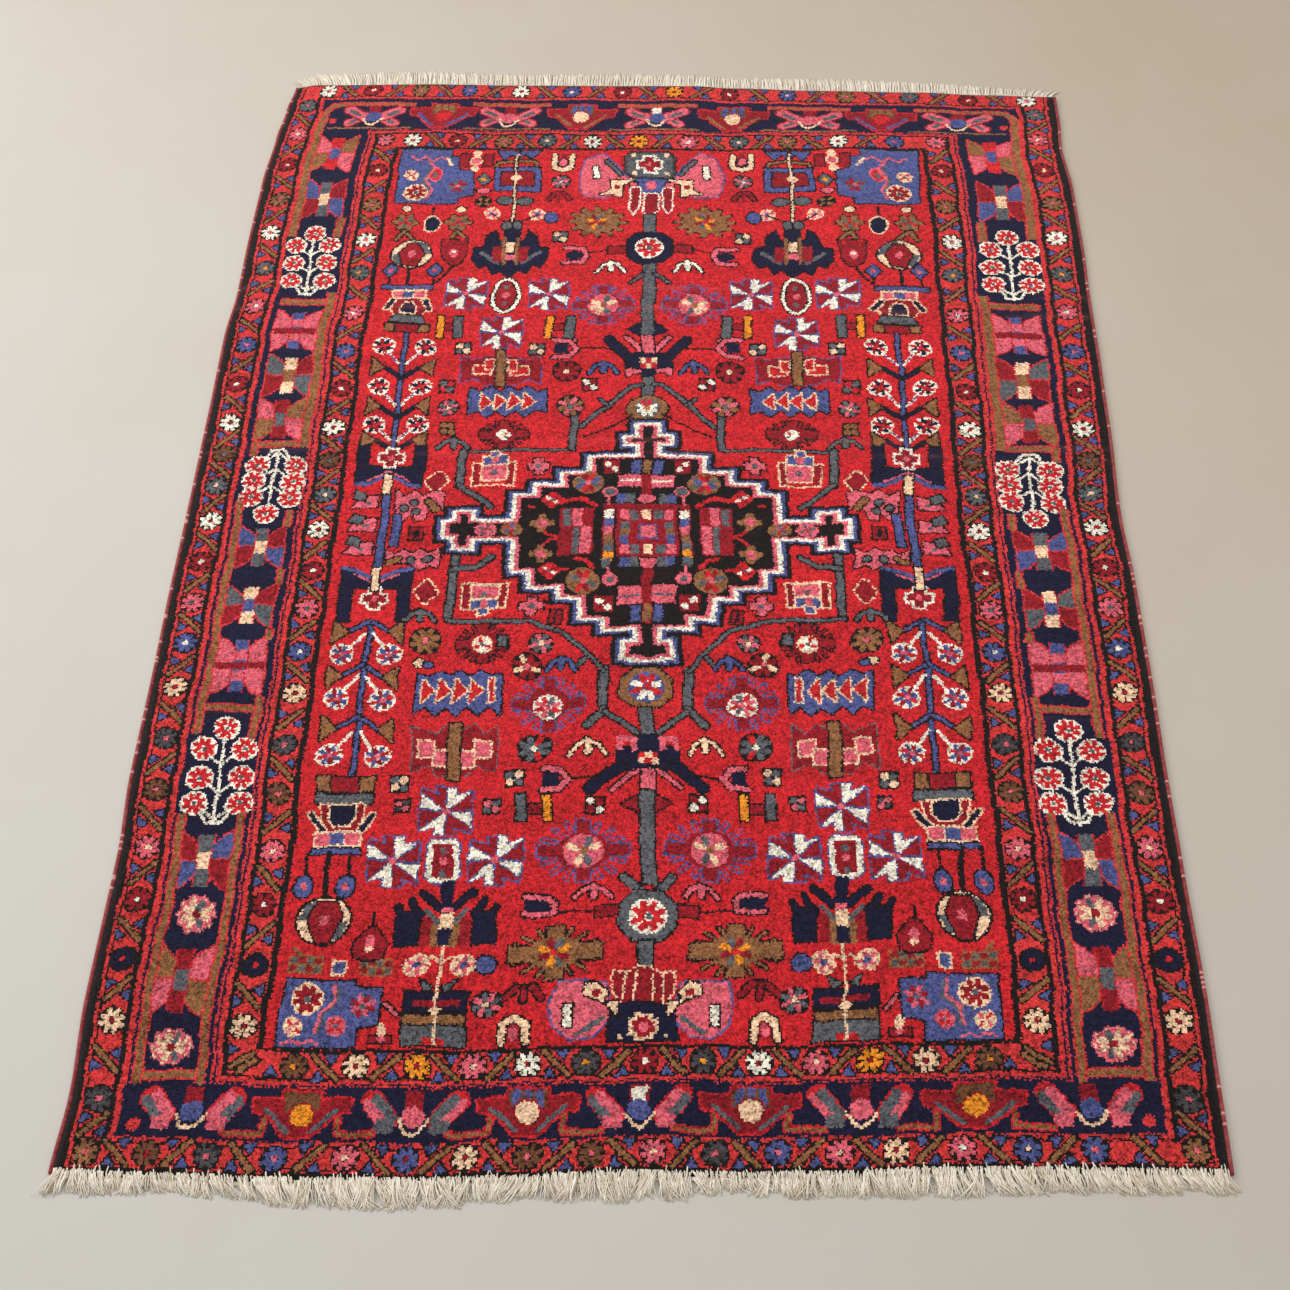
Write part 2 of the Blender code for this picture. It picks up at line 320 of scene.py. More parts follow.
    def cross(self, colour, x, y, reach, half, rim=None):
        if rim:
            self.cross(rim, x, y, reach + RIM, half + RIM)
        self.box(colour, x - reach, x + reach, y - half, y + half)
        self.box(colour, x - half, x + half, y - reach, y + reach)

    def anchor(self, colour, x, y, half, fall):
        """A short stem with two arms that curve down from its top."""
        arms = [(x - half, y - fall), (x - half * 0.55, y - fall * 0.25), (x, y),
                (x + half * 0.55, y - fall * 0.25), (x + half, y - fall)]
        self.line(colour, arms, 0.55, "K")
        self.line(colour, [(x, y), (x, y - fall * 0.8)], 0.9, "K")
        self.line(colour, arms, 0.55)


def drifted_grids():
    """Places of every knot in the ideal design, in centimetres."""
    columns = QUADS_ACROSS * KNOTS_IN_QUAD
    rows = QUADS_ALONG * KNOTS_IN_QUAD
    across = ((np.arange(columns) + 0.5) / columns - 0.5) * BODY_WIDTH * 100
    along = ((np.arange(rows) + 0.5) / rows - 0.5) * BODY_LENGTH * 100
    x, y = np.meshgrid(across, along)
    half = BODY_WIDTH * 50
    middle = read_table(MIDDLE_DRIFT, y)
    ideal = x
    for _ in range(DRIFT_ROUNDS):
        share = np.abs(ideal) / half
        ideal = x - middle * (1 - share) + MIDDLE_BULGE * 4 * share * (1 - share)
    rise = np.clip((ideal - RISE_FROM) / (RISE_TO - RISE_FROM), 0, 1)
    rise = rise * rise * (3 - 2 * rise)
    ideal_y = y - read_table(RIGHT_RISE, y) * rise
    for turn, weight, phase in HAND_WAVES:
        ideal = ideal + weight * np.sin(turn * y + 0.6 * turn * x + phase)
        ideal_y = ideal_y + weight * np.sin(turn * x - 0.5 * turn * y + 2 * phase)
    chance = np.random.default_rng(17)
    ideal = ideal + chance.normal(0, KNOT_STRAY, x.shape) + chance.normal(0, ROW_STRAY, (rows, 1))
    ideal_y = ideal_y + chance.normal(0, KNOT_STRAY, x.shape) + chance.normal(0, ROW_STRAY, (1, columns))
    return ideal, ideal_y


# Nested frames of the borders: half width, lower end, upper end, colour
FRAMES = (
    (73.5, -107.0, 107.0, "K"),
    (72.25, -106.1, 106.7, "C"),
    (71.8, -105.8, 106.4, "K"),
    (71.5, -105.6, 106.2, "C"),
    (68.1, -103.0, 103.1, "K"),
    (67.4, -102.7, 102.8, "C"),
    (66.6, -102.1, 102.2, "N"),
    (55.7, -94.9, 93.2, "C"),
    (55.35, -94.75, 93.05, "N"),
    (55.05, -94.55, 92.85, "C"),
    (54.3, -93.95, 92.3, "K"),
    (53.6, -93.55, 91.9, "C"),
    (49.8, -90.2, 88.2, "K"),
    (48.9, -89.75, 87.7, "R"),
)

# Flowers of the narrow borders: place, petals, centre
OUTER_SIDE = (
    (100.4, "G", "P"), (92.2, "P", "E"), (83.2, "r", "E"), (73.8, "M", "P"), (64.9, "W", "P"),
    (55.7, "G", "O"),
    (46.2, "P", "W"), (36.6, "B", "P"), (27.6, "r", "W"), (19.1, "W", "r"), (12.2, "T", "G"),
    (5.3, "G", "E"),
    (-2.0, "W", "r"), (-10.2, "r", "W"), (-18.0, "P", "G"), (-25.6, "B", "W"), (-33.8, "E", "r"),
    (-42.8, "D", "P"), (-51.5, "T", "P"), (-60.5, "P", "E"), (-68.8, "r", "W"), (-77.8, "N", "R"),
    (-86.7, "E", "r"), (-97.3, "D", "P"), (-104.0, "M", "P"),
)
INNER_SIDE = (
    (90.2, "P", "G"), (81.7, "r", "E"), (72.0, "M", "P"), (63.0, "W", "P"), (54.6, "G", "O"),
    (44.5, "P", "W"),
    (35.3, "B", "P"), (26.6, "r", "W"), (18.2, "W", "r"), (11.0, "T", "G"), (3.7, "G", "E"),
    (-3.6, "W", "r"),
    (-11.7, "r", "W"), (-19.0, "P", "G"), (-26.8, "B", "W"), (-34.5, "E", "r"), (-43.6, "D", "P"),
    (-51.8, "T", "P"), (-60.9, "P", "E"), (-69.0, "r", "W"), (-78.2, "N", "R"), (-86.9, "E", "r"),
)
TOP_OUTER = (
    (-66.7, "W", "P"), (-57.6, "r", "E"), (-47.8, "M", "P"), (-37.8, "B", "P"), (-27.4, "W", "r"),
    (-17.4, "B", "E"), (-7.2, "r", "W"), (3.0, "O", "r"), (13.4, "r", "W"), (24.3, "B", "E"),
    (35.4, "M", "P"),
    (47.0, "G", "P"), (57.8, "r", "E"), (68.6, "W", "P"),
)
TOP_INNER = (
    (-46.3, "W", "P"), (-37.4, "r", "E"), (-28.6, "M", "P"), (-20.1, "G", "E"), (-11.2, "W", "r"),
    (-2.4, "O", "r"), (6.7, "P", "W"), (16.1, "G", "E"), (25.1, "M", "P"), (34.1, "W", "r"),
    (44.2, "B", "P"),
)
BOTTOM_INNER = (
    (-44.7, "T", "O"), (-36.6, "E", "r"), (-28.9, "O", "r"), (-21.6, "P", "E"), (-14.5, "W", "r"),
    (-7.0, "D", "O"), (0.4, "r", "W"), (7.9, "D", "O"), (15.5, "W", "r"), (22.9, "P", "E"), (30.0, "O", "r"),
    (37.1, "E", "r"), (45.1, "T", "O"),
)
BOTTOM_OUTER = (
    (-61.8, "T", "r"), (-53.8, "D", "P"), (-45.4, "B", "P"), (-36.5, "P", "E"), (-28.6, "B", "r"),
    (-21.2, "E", "r"), (-13.5, "T", "P"), (-5.8, "T", "P"), (2.0, "P", "E"), (10.2, "D", "P"),
    (18.0, "B", "P"),
    (25.7, "P", "E"), (32.8, "E", "r"), (41.2, "P", "W"), (49.4, "B", "E"), (57.5, "B", "P"),
    (-69.9, "M", "P"),
    (69.9, "M", "P"),
)


def flower_row(art, flowers, fixed, upright, size, slope=1):
    """Flowers along a narrow border, with a slanting bar and two small triangles between neighbours."""
    def place(along, aside):
        return (fixed + aside, along) if upright else (along, fixed + aside)

    previous = None
    for along, petals, centre in sorted(flowers):
        if previous is not None:
            middle = (along + previous) / 2
            slope = -slope
            bar = [place(middle - 1.6, -1.6 * slope), place(middle + 1.6, 1.6 * slope)]
            art.line("K", bar, 1.2)
            art.line("M", bar, 0.62)
            for side in (-1, 1):
                corner = [place(middle, -side * slope * 1.75),
                          place(middle + side * 1.6, -side * slope * 1.75),
                          place(middle + side * 0.9, -side * slope * 0.45)]
                art.shape("B", corner, "K", 0.25)
        art.rosette(*place(along, 0.0), size, petals, centre)
        previous = along


def quartet(art, high, low, colours, column, middle):
    """One main border motif: four waisted wings round a column.

    The wings' colours are named in the order outer upper, inner upper, outer lower, inner lower.
    """
    centre = (high + low) / 2
    wings = ((middle + 4.0, middle + 0.9, high), (middle - 3.8, middle - 0.9, high),
             (middle + 4.0, middle + 0.9, low), (middle - 3.8, middle - 0.9, low))
    for (outer, inner, end), colour in zip(wings, colours):
        inward = 1 if centre > end else -1
        points = [(outer, centre), (inner, centre), (inner, end + inward * 2.5),
                  (inner + 0.5 * (outer - inner), end + inward * 0.9), (outer, end)]
        art.shape(colour, points, "C", 0.28)
    step = (high - low - 1.0) / len(column)
    for number, colour in enumerate(column):
        top = high - 0.5 - step * number
        wide = 0.9 if number % 2 else 1.0
        art.box("R", middle - wide - 0.2, middle + wide + 0.2, top - step, top)
        art.box(colour, middle - wide, middle + wide, top - step, top)


def flowering_tree(art, stem, top, pairs, base, rise):
    """A white stem with pairs of rosettes and one more at its end, upward where rise is 1."""
    art.line("W", [(stem, top), (stem, base)], 0.45)
    for along, left, right in pairs:
        art.line("W", [(left, along), (stem, along - rise * 2.6), (right, along)], 0.4)
    along, left, right = pairs[-1] if rise > 0 else pairs[0]
    foot = base + 0.3 if rise > 0 else base
    art.line("W", [(left, along), (stem + 1, foot), (stem - 1, foot), (right, along)], 0.5)
    places = [(x, along) for along, left, right in pairs for x in (left, right)]
    for x, y in (*places, (stem, top)):
        art.rosette(x, y, 1.9, "R", "G", "W", 8, 0.2)


# Main side border: upper end, lower end, wings, column and middle of each winged motif
QUARTETS = (
    (91.3, 81.5, "PMMP", "RBR", 61.3), (79.2, 68.8, "BrrB", "GEG", 61.3),
    (45.1, 35.5, "PPPP", "BPBPB", 61.3),
    (34.5, 25.0, "GrrG", "EME", 61.3), (24.5, 15.0, "PMMP", "rGr", 61.3), (-2.8, -11.2, "BrrB", "GEG", 60.9),
    (-14.5, -22.6, "GrrG", "EBE", 60.9), (-24.5, -35.0, "PPPP", "BPBPB", 60.9),
    (-58.0, -67.3, "rBBr", "GEG", 61.4),
    (-75.5, -85.5, "MPPM", "rGr", 61.4),
)
# Stem, top, pairs of flowers (along, outer, inner), base, and 1 up or -1 down
TREES = (
    (61.5, 64.7, ((61.5, 64.6, 58.4), (57.0, 64.6, 58.4), (52.5, 64.6, 58.4)), 48.8, 1),
    (60.8, -0.3, ((9.7, 63.9, 57.5), (6.4, 63.9, 57.5), (3.0, 63.9, 57.5)), 12.9, -1),
    (60.9, -40.7, ((-44.3, 63.8, 57.8), (-49.1, 63.8, 57.6), (-53.4, 64.0, 57.6)), -56.8, 1),
)
# Boxes of the side border, with their rim if any: colour, left, right, low, high
SIDE_BARS = (
    ("r", 57.7, 65.2, 39.5, 40.9, None), ("r", 57.2, 64.8, -30.4, -29.1, None),
    ("M", 57.4, 65.3, 46.6, 47.6, "C"),
    ("M", 57.4, 65.3, 13.8, 14.7, "C"), ("M", 57.4, 65.3, -37.6, -36.8, "C"),
    ("M", 57.4, 65.3, -94.2, -93.3, "C"),
)
# Camel strips along the side border: left, right, low, high
SIDE_STRIPS = (
    (65.2, 66.5, 64, 98), (56.8, 57.9, 63.4, 68.8), (55.9, 57.2, 13.7, 49.5), (64.6, 65.4, 11.6, 14.7),
    (64.9, 65.8, -42, 2), (56.6, 57.4, -2.8, 0.5), (56.6, 57.4, -14.5, -11.5), (56.6, 57.4, -25, -23),
    (56.5, 57.3, -42.6, -35), (65.0, 65.9, -95, -55), (56.6, 57.4, -95, -55),
)


def draw_main_sides(art):
    """The navy side borders, mirrored left and right."""
    for row in QUARTETS:
        quartet(art, *row)
    for row in TREES:
        flowering_tree(art, *row)
    for x, y, tall, size in ((61.2, -70.9, 2.6, 2.3), (61.4, -89.8, 2.4, 2.2)):
        art.burst("E", x, y, 2.6, tall, 10, 0.12, "P")
        art.rosette(x, y, size, "EEG", "r", "P", 8, 0.26)
    for row in SIDE_BARS:
        art.box(*row)
    for left, right, low, high in SIDE_STRIPS:
        art.box("C", left - 0.3, right + 0.3, low, high)
        art.box("M", left, right, low, high)


def end_flower(art, x, high, low, stub, centre, cup, crossed):
    """A flower of the end borders: banded wings, crossed or on feet, with a centre and a cup."""
    middle = (high + low) / 2
    tall = high - low
    for side in (-1, 1):
        if crossed:
            art.line("P", [(x + side * 4.6, low + 1.1), (x + side * 1.6, middle)], 1.8, "r")
            art.line("G", [(x + side * 4.2, low + 1.3), (x + side * 2.8, middle - 0.6)], 0.8)
            art.line("P", [(x + side * 5.1, high - 1.0), (x + side * 1.8, middle)], 2.0, "r")
            art.line("G", [(x + side * 4.7, high - 1.4), (x + side * 2.9, middle + 0.5)], 0.9)
        else:
            outer, inner = ("P", "G") if centre == "P" else ("G", "P")
            art.line("R", [(x + side * 5.4, high - 1.1), (x + side * 3.4, middle - 0.6)], 3.0)
            art.line(outer, [(x + side * 6.0, high - 1.4), (x + side * 4.1, middle - 1.0)], 1.3)
            art.line(inner, [(x + side * 4.9, high - 0.9), (x + side * 2.8, middle - 0.4)], 1.4)
            art.box(inner, x + side * 3.5 - 1.2, x + side * 3.5 + 1.2, low + 0.5, low + 2.3)
    art.box(stub, x - 0.9, x + 0.9, high - tall * 0.36, high, "r")
    art.oval(centre, x, middle - 0.1, 1.5, 1.4)
    art.line(cup, [(x - 1.9, middle - 0.6), (x - 0.9, low + 0.9), (x, low + 0.5), (x + 0.9, low + 0.9),
                   (x + 1.9, middle - 0.6)], 0.45)


def palmette(art, x, high, low, lobe, heart, cup):
    """A shouldered leaf form between the spread flowers."""
    tall = high - low
    shoulders = [(x - 6.5, high - tall * 0.18), (x - 2.6, high - tall * 0.18), (x - 2.6, high),
                 (x + 2.6, high),
                 (x + 2.6, high - tall * 0.18), (x + 6.5, high - tall * 0.18), (x + 6.2, high - tall * 0.46),
                 (x + 4.6, high - tall * 0.50), (x + 1.6, low + 0.2), (x - 1.6, low + 0.2),
                 (x - 4.6, high - tall * 0.50), (x - 6.2, high - tall * 0.46)]
    art.shape("r", shoulders, "R", 0.3)
    art.box("T", x - 2.4, x + 2.4, high - tall * 0.42, high - 0.2)
    for side in (-1, 0, 1):
        art.box(lobe, x + side * 1.45 - 0.5, x + side * 1.45 + 0.5, high - tall * 0.40, high - 0.1)
    for side in (-1, 1):
        art.line(cup, [(x + side * 4.7, high - tall * 0.42), (x + side * 1.4, low + 0.8)], 0.6)
    art.oval(heart, x, (high + low) / 2, 1.55, 1.5, "r")


def draw_ends(art):
    """The end borders, drawn unmirrored because their flowers aren't."""
    for x, stub, centre in ((0, "W", "B"), (-28.6, "r", "P"), (28.6, "r", "P"), (-55.7, "r", "B"),
                            (55.7, "r", "B")):
        end_flower(art, x, 99.9, 94.0, stub, centre, "E", True)
        art.box("M", x - 7.5, x + 7.5, 100.35, 100.9, "C")
        art.box("M", x - 8.6, x + 8.6, 93.45, 93.85)
    for x in (-14.5, 14.5):
        palmette(art, x, 100.6, 93.6, "B", "E", "M")
    for x in (-41.9, 41.9):
        palmette(art, x, 100.6, 93.6, "M", "R", "B")
    for x, stub, centre in ((0, "W", "B"), (-28.55, "r", "P"), (28.55, "r", "P"), (-57.4, "r", "B"),
                            (57.4, "r", "B")):
        end_flower(art, x, -95.6, -101.5, stub, centre, "E", False)
        for side in (-1, 1):
            bar = [(x + side * 4.8, -101.2), (x + side * 9.6, -101.2), (x + side * 9.6, -99.2)]
            if abs(x + side * 9.6) < 62:
                art.line("R", bar, 1.0)
                art.line("M", bar, 0.5)
    for x in (-14.25, 14.25):
        palmette(art, x, -95.4, -101.6, "B", "E", "G")
    for x in (-43.05, 43.05):
        palmette(art, x, -95.4, -101.6, "T", "O", "G")
    for side in (-1, 1):
        art.line("M", [(side * 66, 98), (side * 64.2, 100.4), (side * 62, 100.6)], 0.9, "C")
        art.oval("C", side * 63.8, 95.7, 0.7)
        art.oval("C", side * 64.5, -100.5, 0.9)
    flower_row(art, TOP_OUTER, 104.7, False, 1.75)
    flower_row(art, TOP_INNER, 90.1, False, 1.8)
    flower_row(art, BOTTOM_INNER, -92.1, False, 1.8)
    flower_row(art, BOTTOM_OUTER, -104.2, False, 1.75)
    for side in (-1, 1):
        for bar in ([(50.2, -90.7), (53.2, -92.6)], [(49.7, -91.6), (52.4, -93.3)]):
            points = [(side * across, along) for across, along in bar]
            art.line("K", points, 1.2)
            art.line("M", points, 0.6)
        art.shape("B", [(side * 53.4, -91.0), (side * 53.4, -89.4), (side * 52.2, -90.2)], "K", 0.25)
        art.shape("B", [(side * 46.9, -93.3), (side * 48.5, -93.3), (side * 47.7, -92.1)], "K", 0.25)


def half_points(points, x):
    """Points given as distances from a motif's own middle, mirrored into a closed form round x."""
    return [(x + dx, y) for dx, y in points] + [(x - dx, y) for dx, y in reversed(points)]


def draw_upper_corner(art):
    """The blue corner piece."""
    corner = [(48.1, 87.4), (38, 87.4), (38, 85.6), (36, 85.4), (36, 82.3), (33.4, 81.8), (33.2, 75),
              (36, 74.2), (36, 72.8), (47.4, 72.8)]
    art.shape("B", corner, "K")
    art.line("P", [(38.5, 84.6), (40, 85.4), (41.5, 84.2), (43, 85.4), (44.5, 84.2), (46, 85.2)], 0.4)
    art.rosette(43.95, 75.6, 2.1, "r", "G", "E", 8)
    art.rosette(45.3, 80.1, 1.3, "RP", "G", "E", 4)
    art.oval("R", 40.8, 80.6, 1.1, 1.6, "P")
    art.oval("G", 40.8, 80.4, 0.5, 0.8)
    art.rosette(36.3, 77.6, 1.9, "rGr", "P", "B", 8)
    art.line("P", [(42.2, 84), (41, 82.5), (42.4, 79), (41, 76.5), (41.8, 74)], 0.5)
    art.line("G", [(42.7, 84), (41.5, 82.5), (42.9, 79), (41.5, 76.5)], 0.4)
    art.shape("E", [(39, 85.3), (38.2, 85), (37, 82.8), (38, 83.2)])


def draw_upper_stand(art):
    """The framed box on its cream stem, and the fillers beside it."""
    art.oval("E", 33, 86.6, 0.8, 1)
    art.oval("P", 33, 84.7, 0.9, 0.9, "E")
    art.oval("E", 33, 82.5, 0.8, 0.9)
    for side in (-2.3, 2.3):
        art.box("r", 33 + side - 0.8, 33 + side + 0.8, 83, 86.4, "K")
    art.shape("G", [(31.2, 81), (32.6, 79.3), (31.2, 77.7), (29.8, 79.3)], "K")
    art.oval("O", 31.2, 79.3, 0.5)
    art.oval("P", 31.4, 76.3, 1.2, 0.7, "K")
    art.rosette(31, 73.3, 1.5, "M", "K", "K", 4)
    art.shape("B", [(20.9, 87.3), (22.6, 85), (24, 86.5), (25.05, 85), (26.2, 86.5), (27.6, 85),
                    (29.2, 87.3)], "K")
    art.line("M", [(21, 82.6), (21.4, 84), (25, 84.6), (28.6, 84), (29, 82.6)], 0.6, "K")
    art.box("B", 20.5, 29.1, 76.3, 82.6, "K")
    art.box("r", 21.8, 27.9, 77.8, 81.4, "K")
    for place in (27, 23.2):
        art.oval("G", place, 73.6, 1.5, 1.0, "K")
    for place in (29.1, 20.8):
        art.rosette(place, 70.1, 1.45, "P", "B", "E", 5, 0.32)
    art.line("K", [(25.2, 87.2), (25.2, 65.3)], 0.9)
    art.line("E", [(25.2, 86.5), (25.2, 68)], 0.35)
    art.oval("E", 25.2, 79.8, 1, 0.8)
    art.line("K", [(20.8, 70), (25.2, 67), (29.1, 70)], 0.4)
    art.oval("B", 18.2, 69.4, 1.2, 1.4, "K")
    for place in (24.2, 26.2):
        art.oval("G", place, 67.2, 0.8, 1.1, "K")


def draw_upper_tower(art):
    """The navy flower at the foot of the stem."""
    tower = [(18.2, 58), (18.2, 61), (20, 61.5), (20.6, 64.5), (22, 65.8), (22.6, 63.2), (23.6, 62.8),
             (23.6, 66),
             (26.2, 66), (26.2, 62.8), (27.2, 63.2), (27.8, 65.8), (29.2, 64.5), (29.8, 61.5), (31.6, 61),
             (31.6, 58),
             (30.4, 56.2), (29, 57), (28, 54.6), (26.6, 55.6), (24.9, 53.8), (23.2, 55.6), (21.8, 54.6),
             (20.8, 57), (19.4, 56.2)]
    art.shape("N", tower, "K")
    art.line("G", [(19.6, 60), (22.6, 57.4)], 0.8)
    art.line("G", [(30.2, 60), (27.2, 57.4)], 0.8)
    art.box("r", 21.6, 23.4, 57.8, 61.6)
    art.box("r", 26.4, 28.2, 57.8, 61.6)
    art.box("M", 23.4, 26.4, 57, 64)
    art.box("N", 24, 25.8, 57, 64)
    art.box("E", 24.2, 25.6, 60.2, 62.8)
    art.box("P", 24, 25.8, 58.3, 59.7)


def draw_upper_vase(art):
    """The two camel flowers and the round fruits below them."""
    art.line("K", [(39.9, 71.8), (39.9, 69)], 0.5)
    art.oval("N", 39.9, 67.2, 1.4, 2.0, "E")
    for place in (45, 35):
        art.line("M", [(place - 1.8, 63.4), (place, 65.4), (place + 1.4, 63.2)], 0.6, "K")
        art.burst("M", place, 67.7, 2.4, 2.2, 6, 0.3, "K")
        art.rosette(place, 67.7, 1.5, "GR", "r", "M", 6)
        art.oval("E", place, 71.2, 0.8, 0.7, "K")
    art.line("K", [(43.1, 55.5), (43.1, 51)], 0.7)
    art.oval("K", 43.1, 59.4, 3.9)
    art.oval("E", 43.1, 59.4, 3.5)
    art.shape("G", [(43.1, 59.4), (39.6, 59.4), (40.4, 62), (43.1, 62.9)])
    art.shape("G", [(43.1, 59.4), (46.6, 59.4), (45.8, 56.8), (43.1, 55.9)])
    art.shape("r", half_points([(0.9, 62), (2.2, 59.6), (1.2, 56.4)], 43.1), "K")
    art.oval("P", 43.1, 59.4, 0.6, 0.9)
    art.shape("r", half_points([(2.3, 63.2), (2.2, 59.0), (1.2, 57.2), (0.4, 56.6)], 35.3), "K")
    art.shape("R", half_points([(1.0, 63.6), (1.3, 61.8), (1.9, 63.6)], 35.3))
    art.line("K", [(35.3, 56.6), (36.8, 53.6), (38.6, 51.4)], 0.5)
    art.oval("P", 35.3, 59.6, 0.8, 1.1)
    art.oval("W", 35.3, 59.9, 0.5, 0.4)
    for place in (46.4, 38.4):
        art.line("K", [(place, 51), (place, 55)], 0.5)
        art.shape("B", [(place, 56.9), (place + 1.4, 55.1), (place, 53.4), (place - 1.4, 55.1)], "K")
        art.oval("P", place, 55.1, 0.5)
    art.box("B", 38.5, 47.5, 50.4, 51.3, "K")


def draw_upper_fillers(art):
    """The white ring between the pinwheels, and the pink lobe by the middle."""
    art.oval("K", 25.3, 49.2, 2.8, 4.7)
    art.oval("W", 25.3, 49.2, 2.5, 4.4)
    art.oval("r", 25.3, 49.2, 1.7, 3.5, "K")
    art.oval("G", 25.3, 51.3, 0.5)
    art.oval("P", 25.3, 49.2, 0.7)
    art.oval("G", 25.3, 47.2, 0.5)
    art.line("E", [(14.8, 86.2), (15.0, 82.8), (16.5, 82.1), (18.0, 82.8), (18.2, 86.2)], 0.9, "K")
    art.oval("P", 16.5, 84.4, 0.7, 1.1, "K")
    art.box("r", 16.0, 17.0, 85.6, 86.8)
    art.rosette(16.6, 78.9, 1.8, "GP", "W", "K", 8)
    art.line("r", [(15, 74.2), (16, 75.8), (17.6, 75.8), (18.6, 74.2)], 0.8, "K")
    art.line("r", [(16.8, 75.6), (16.8, 73.6)], 0.7)
    lobe = [(9.2, 86.9), (12, 85.2), (13.2, 81), (12.9, 77), (12, 74.7), (8, 74.5), (6.4, 76), (4.2, 79.5),
            (6.6, 83.6)]
    art.shape("P", lobe, "B")
    art.box("W", 9.7, 10.7, 79.8, 83.2, "K")
    art.line("G", [(8.2, 84.6), (5.6, 80.8)], 0.7, "K")
    claw = [(3.2, 80.7), (3, 79.5), (4.6, 78.4), (5.4, 78), (5.4, 74.5), (7.2, 75.5), (9.2, 75.3),
            (7.3, 76.8), (7.7, 79.2), (4.2, 79.2)]
    art.shape("E", claw, "K")
    art.oval("r", 6.4, 77.4, 0.6)


def comb(art, corners, pitch, first_teeth, second_teeth, arrow):
    """A blue bar with seven teeth on each long edge and four red arrows in it."""
    first, second, third, fourth = corners
    steps = range(1, 8)
    points = [first, second, *[(second[0] + pitch * step, first_teeth[step % 2]) for step in steps]]
    points += [third, fourth, *[(fourth[0] - pitch * step, second_teeth[step % 2]) for step in steps]]
    art.shape("B", points, "K")
    for number in range(4):
        art.shape("R", [(x + number * 2.3, y) for x, y in arrow], "E", 0.25)


def hook(art, points, width, core):
    """A pink hook that is open towards the sides, with a navy core."""
    art.line("P", points, width, "K")
    art.box("N", *core)


def draw_upper_column(art):
    """The grey middle stem from the upper border down, with what hangs on it."""
    art.shape("D", half_points([(3.4, 87), (4.7, 85.6), (4.7, 81.4), (3.4, 79.9)], 0), "K")
    art.shape("G", half_points([(3.0, 86.6), (4.2, 85.2), (4.2, 81.6), (3.0, 80.3)], 0))
    art.cross("W", 0, 83.6, 2.6, 1.3)
    art.cross("r", 0, 83.6, 2.1, 0.8)
    art.oval("P", 0, 83.6, 0.5)
    for along in (86.2, 81.2):
        art.oval("E", 3, along, 0.5, 0.5)
    art.box("B", 0, 2.8, 75.9, 79.6, "K")
    art.oval("P", 0, 78, 1, 1.2)
    art.box("P", 2.6, 4, 77.4, 78.6, "K")
    art.shape("r", [(2.2, 77.2), (3.8, 77), (3.6, 71.5), (3, 70.3), (2.2, 72)], "W", 0.3)
    art.shape("r", half_points([(1.2, 75.7), (1.2, 71), (0.3, 70)], 0), "W", 0.3)
    art.box("G", 0, 1, 56.8, 70, "K")
    octagon = half_points([(2.2, 65.1), (3.95, 63.2), (3.95, 59.2), (2.2, 57.4)], 0)
    art.shape("N", octagon, "K")
    art.rosette(0, 61.2, 2.5, "R", "G", "W", 8)
    art.box("r", 4.5, 7.5, 60, 61.7, "K")
    art.line("K", [(7.5, 60.8), (11, 60)], 0.35)
    art.line("P", [(15.2, 61.2), (12, 61), (11.2, 59.3), (12, 57.6), (15.2, 57.4)], 0.8, "K")
    art.oval("N", 13.5, 59.3, 1.5, 1.1)
    art.anchor("W", 6.8, 57.6, 2.5, 2.4)
    art.box("G", 0, 1, 39.4, 57, "K")


def draw_upper_flowers(art):
    """The large rayed flowers, dice and bars beside the middle stem."""
    art.line("G", [(1, 54.3), (3.3, 52.4)], 0.6, "K")
    art.rays("r", 7.8, 46.9, 5.3, 4.7, "B")
    art.rosette(7.8, 46.9, 2.5, "EPGEPGE", "M", "P", 8)
    art.burst("M", 9.6, 68, 5.3, 3.9, 12, 0.26, "K")
    art.rosette(9.6, 68, 2.0, "OrG", "R", "M", 8)
    art.dice(16.2, 64, "E", "G")
    for orange, grey in ((16.9, 13.4), (35.9, 32.7)):
        low = 38.9
        art.box("r", grey, orange, low + 2.0, low + 3.4, "K")
        art.box("O", orange - 0.55, orange + 0.55, low, low + 5.2, "K")
        art.box("G", grey - 0.7, grey + 0.7, low, low + 5.2, "K")


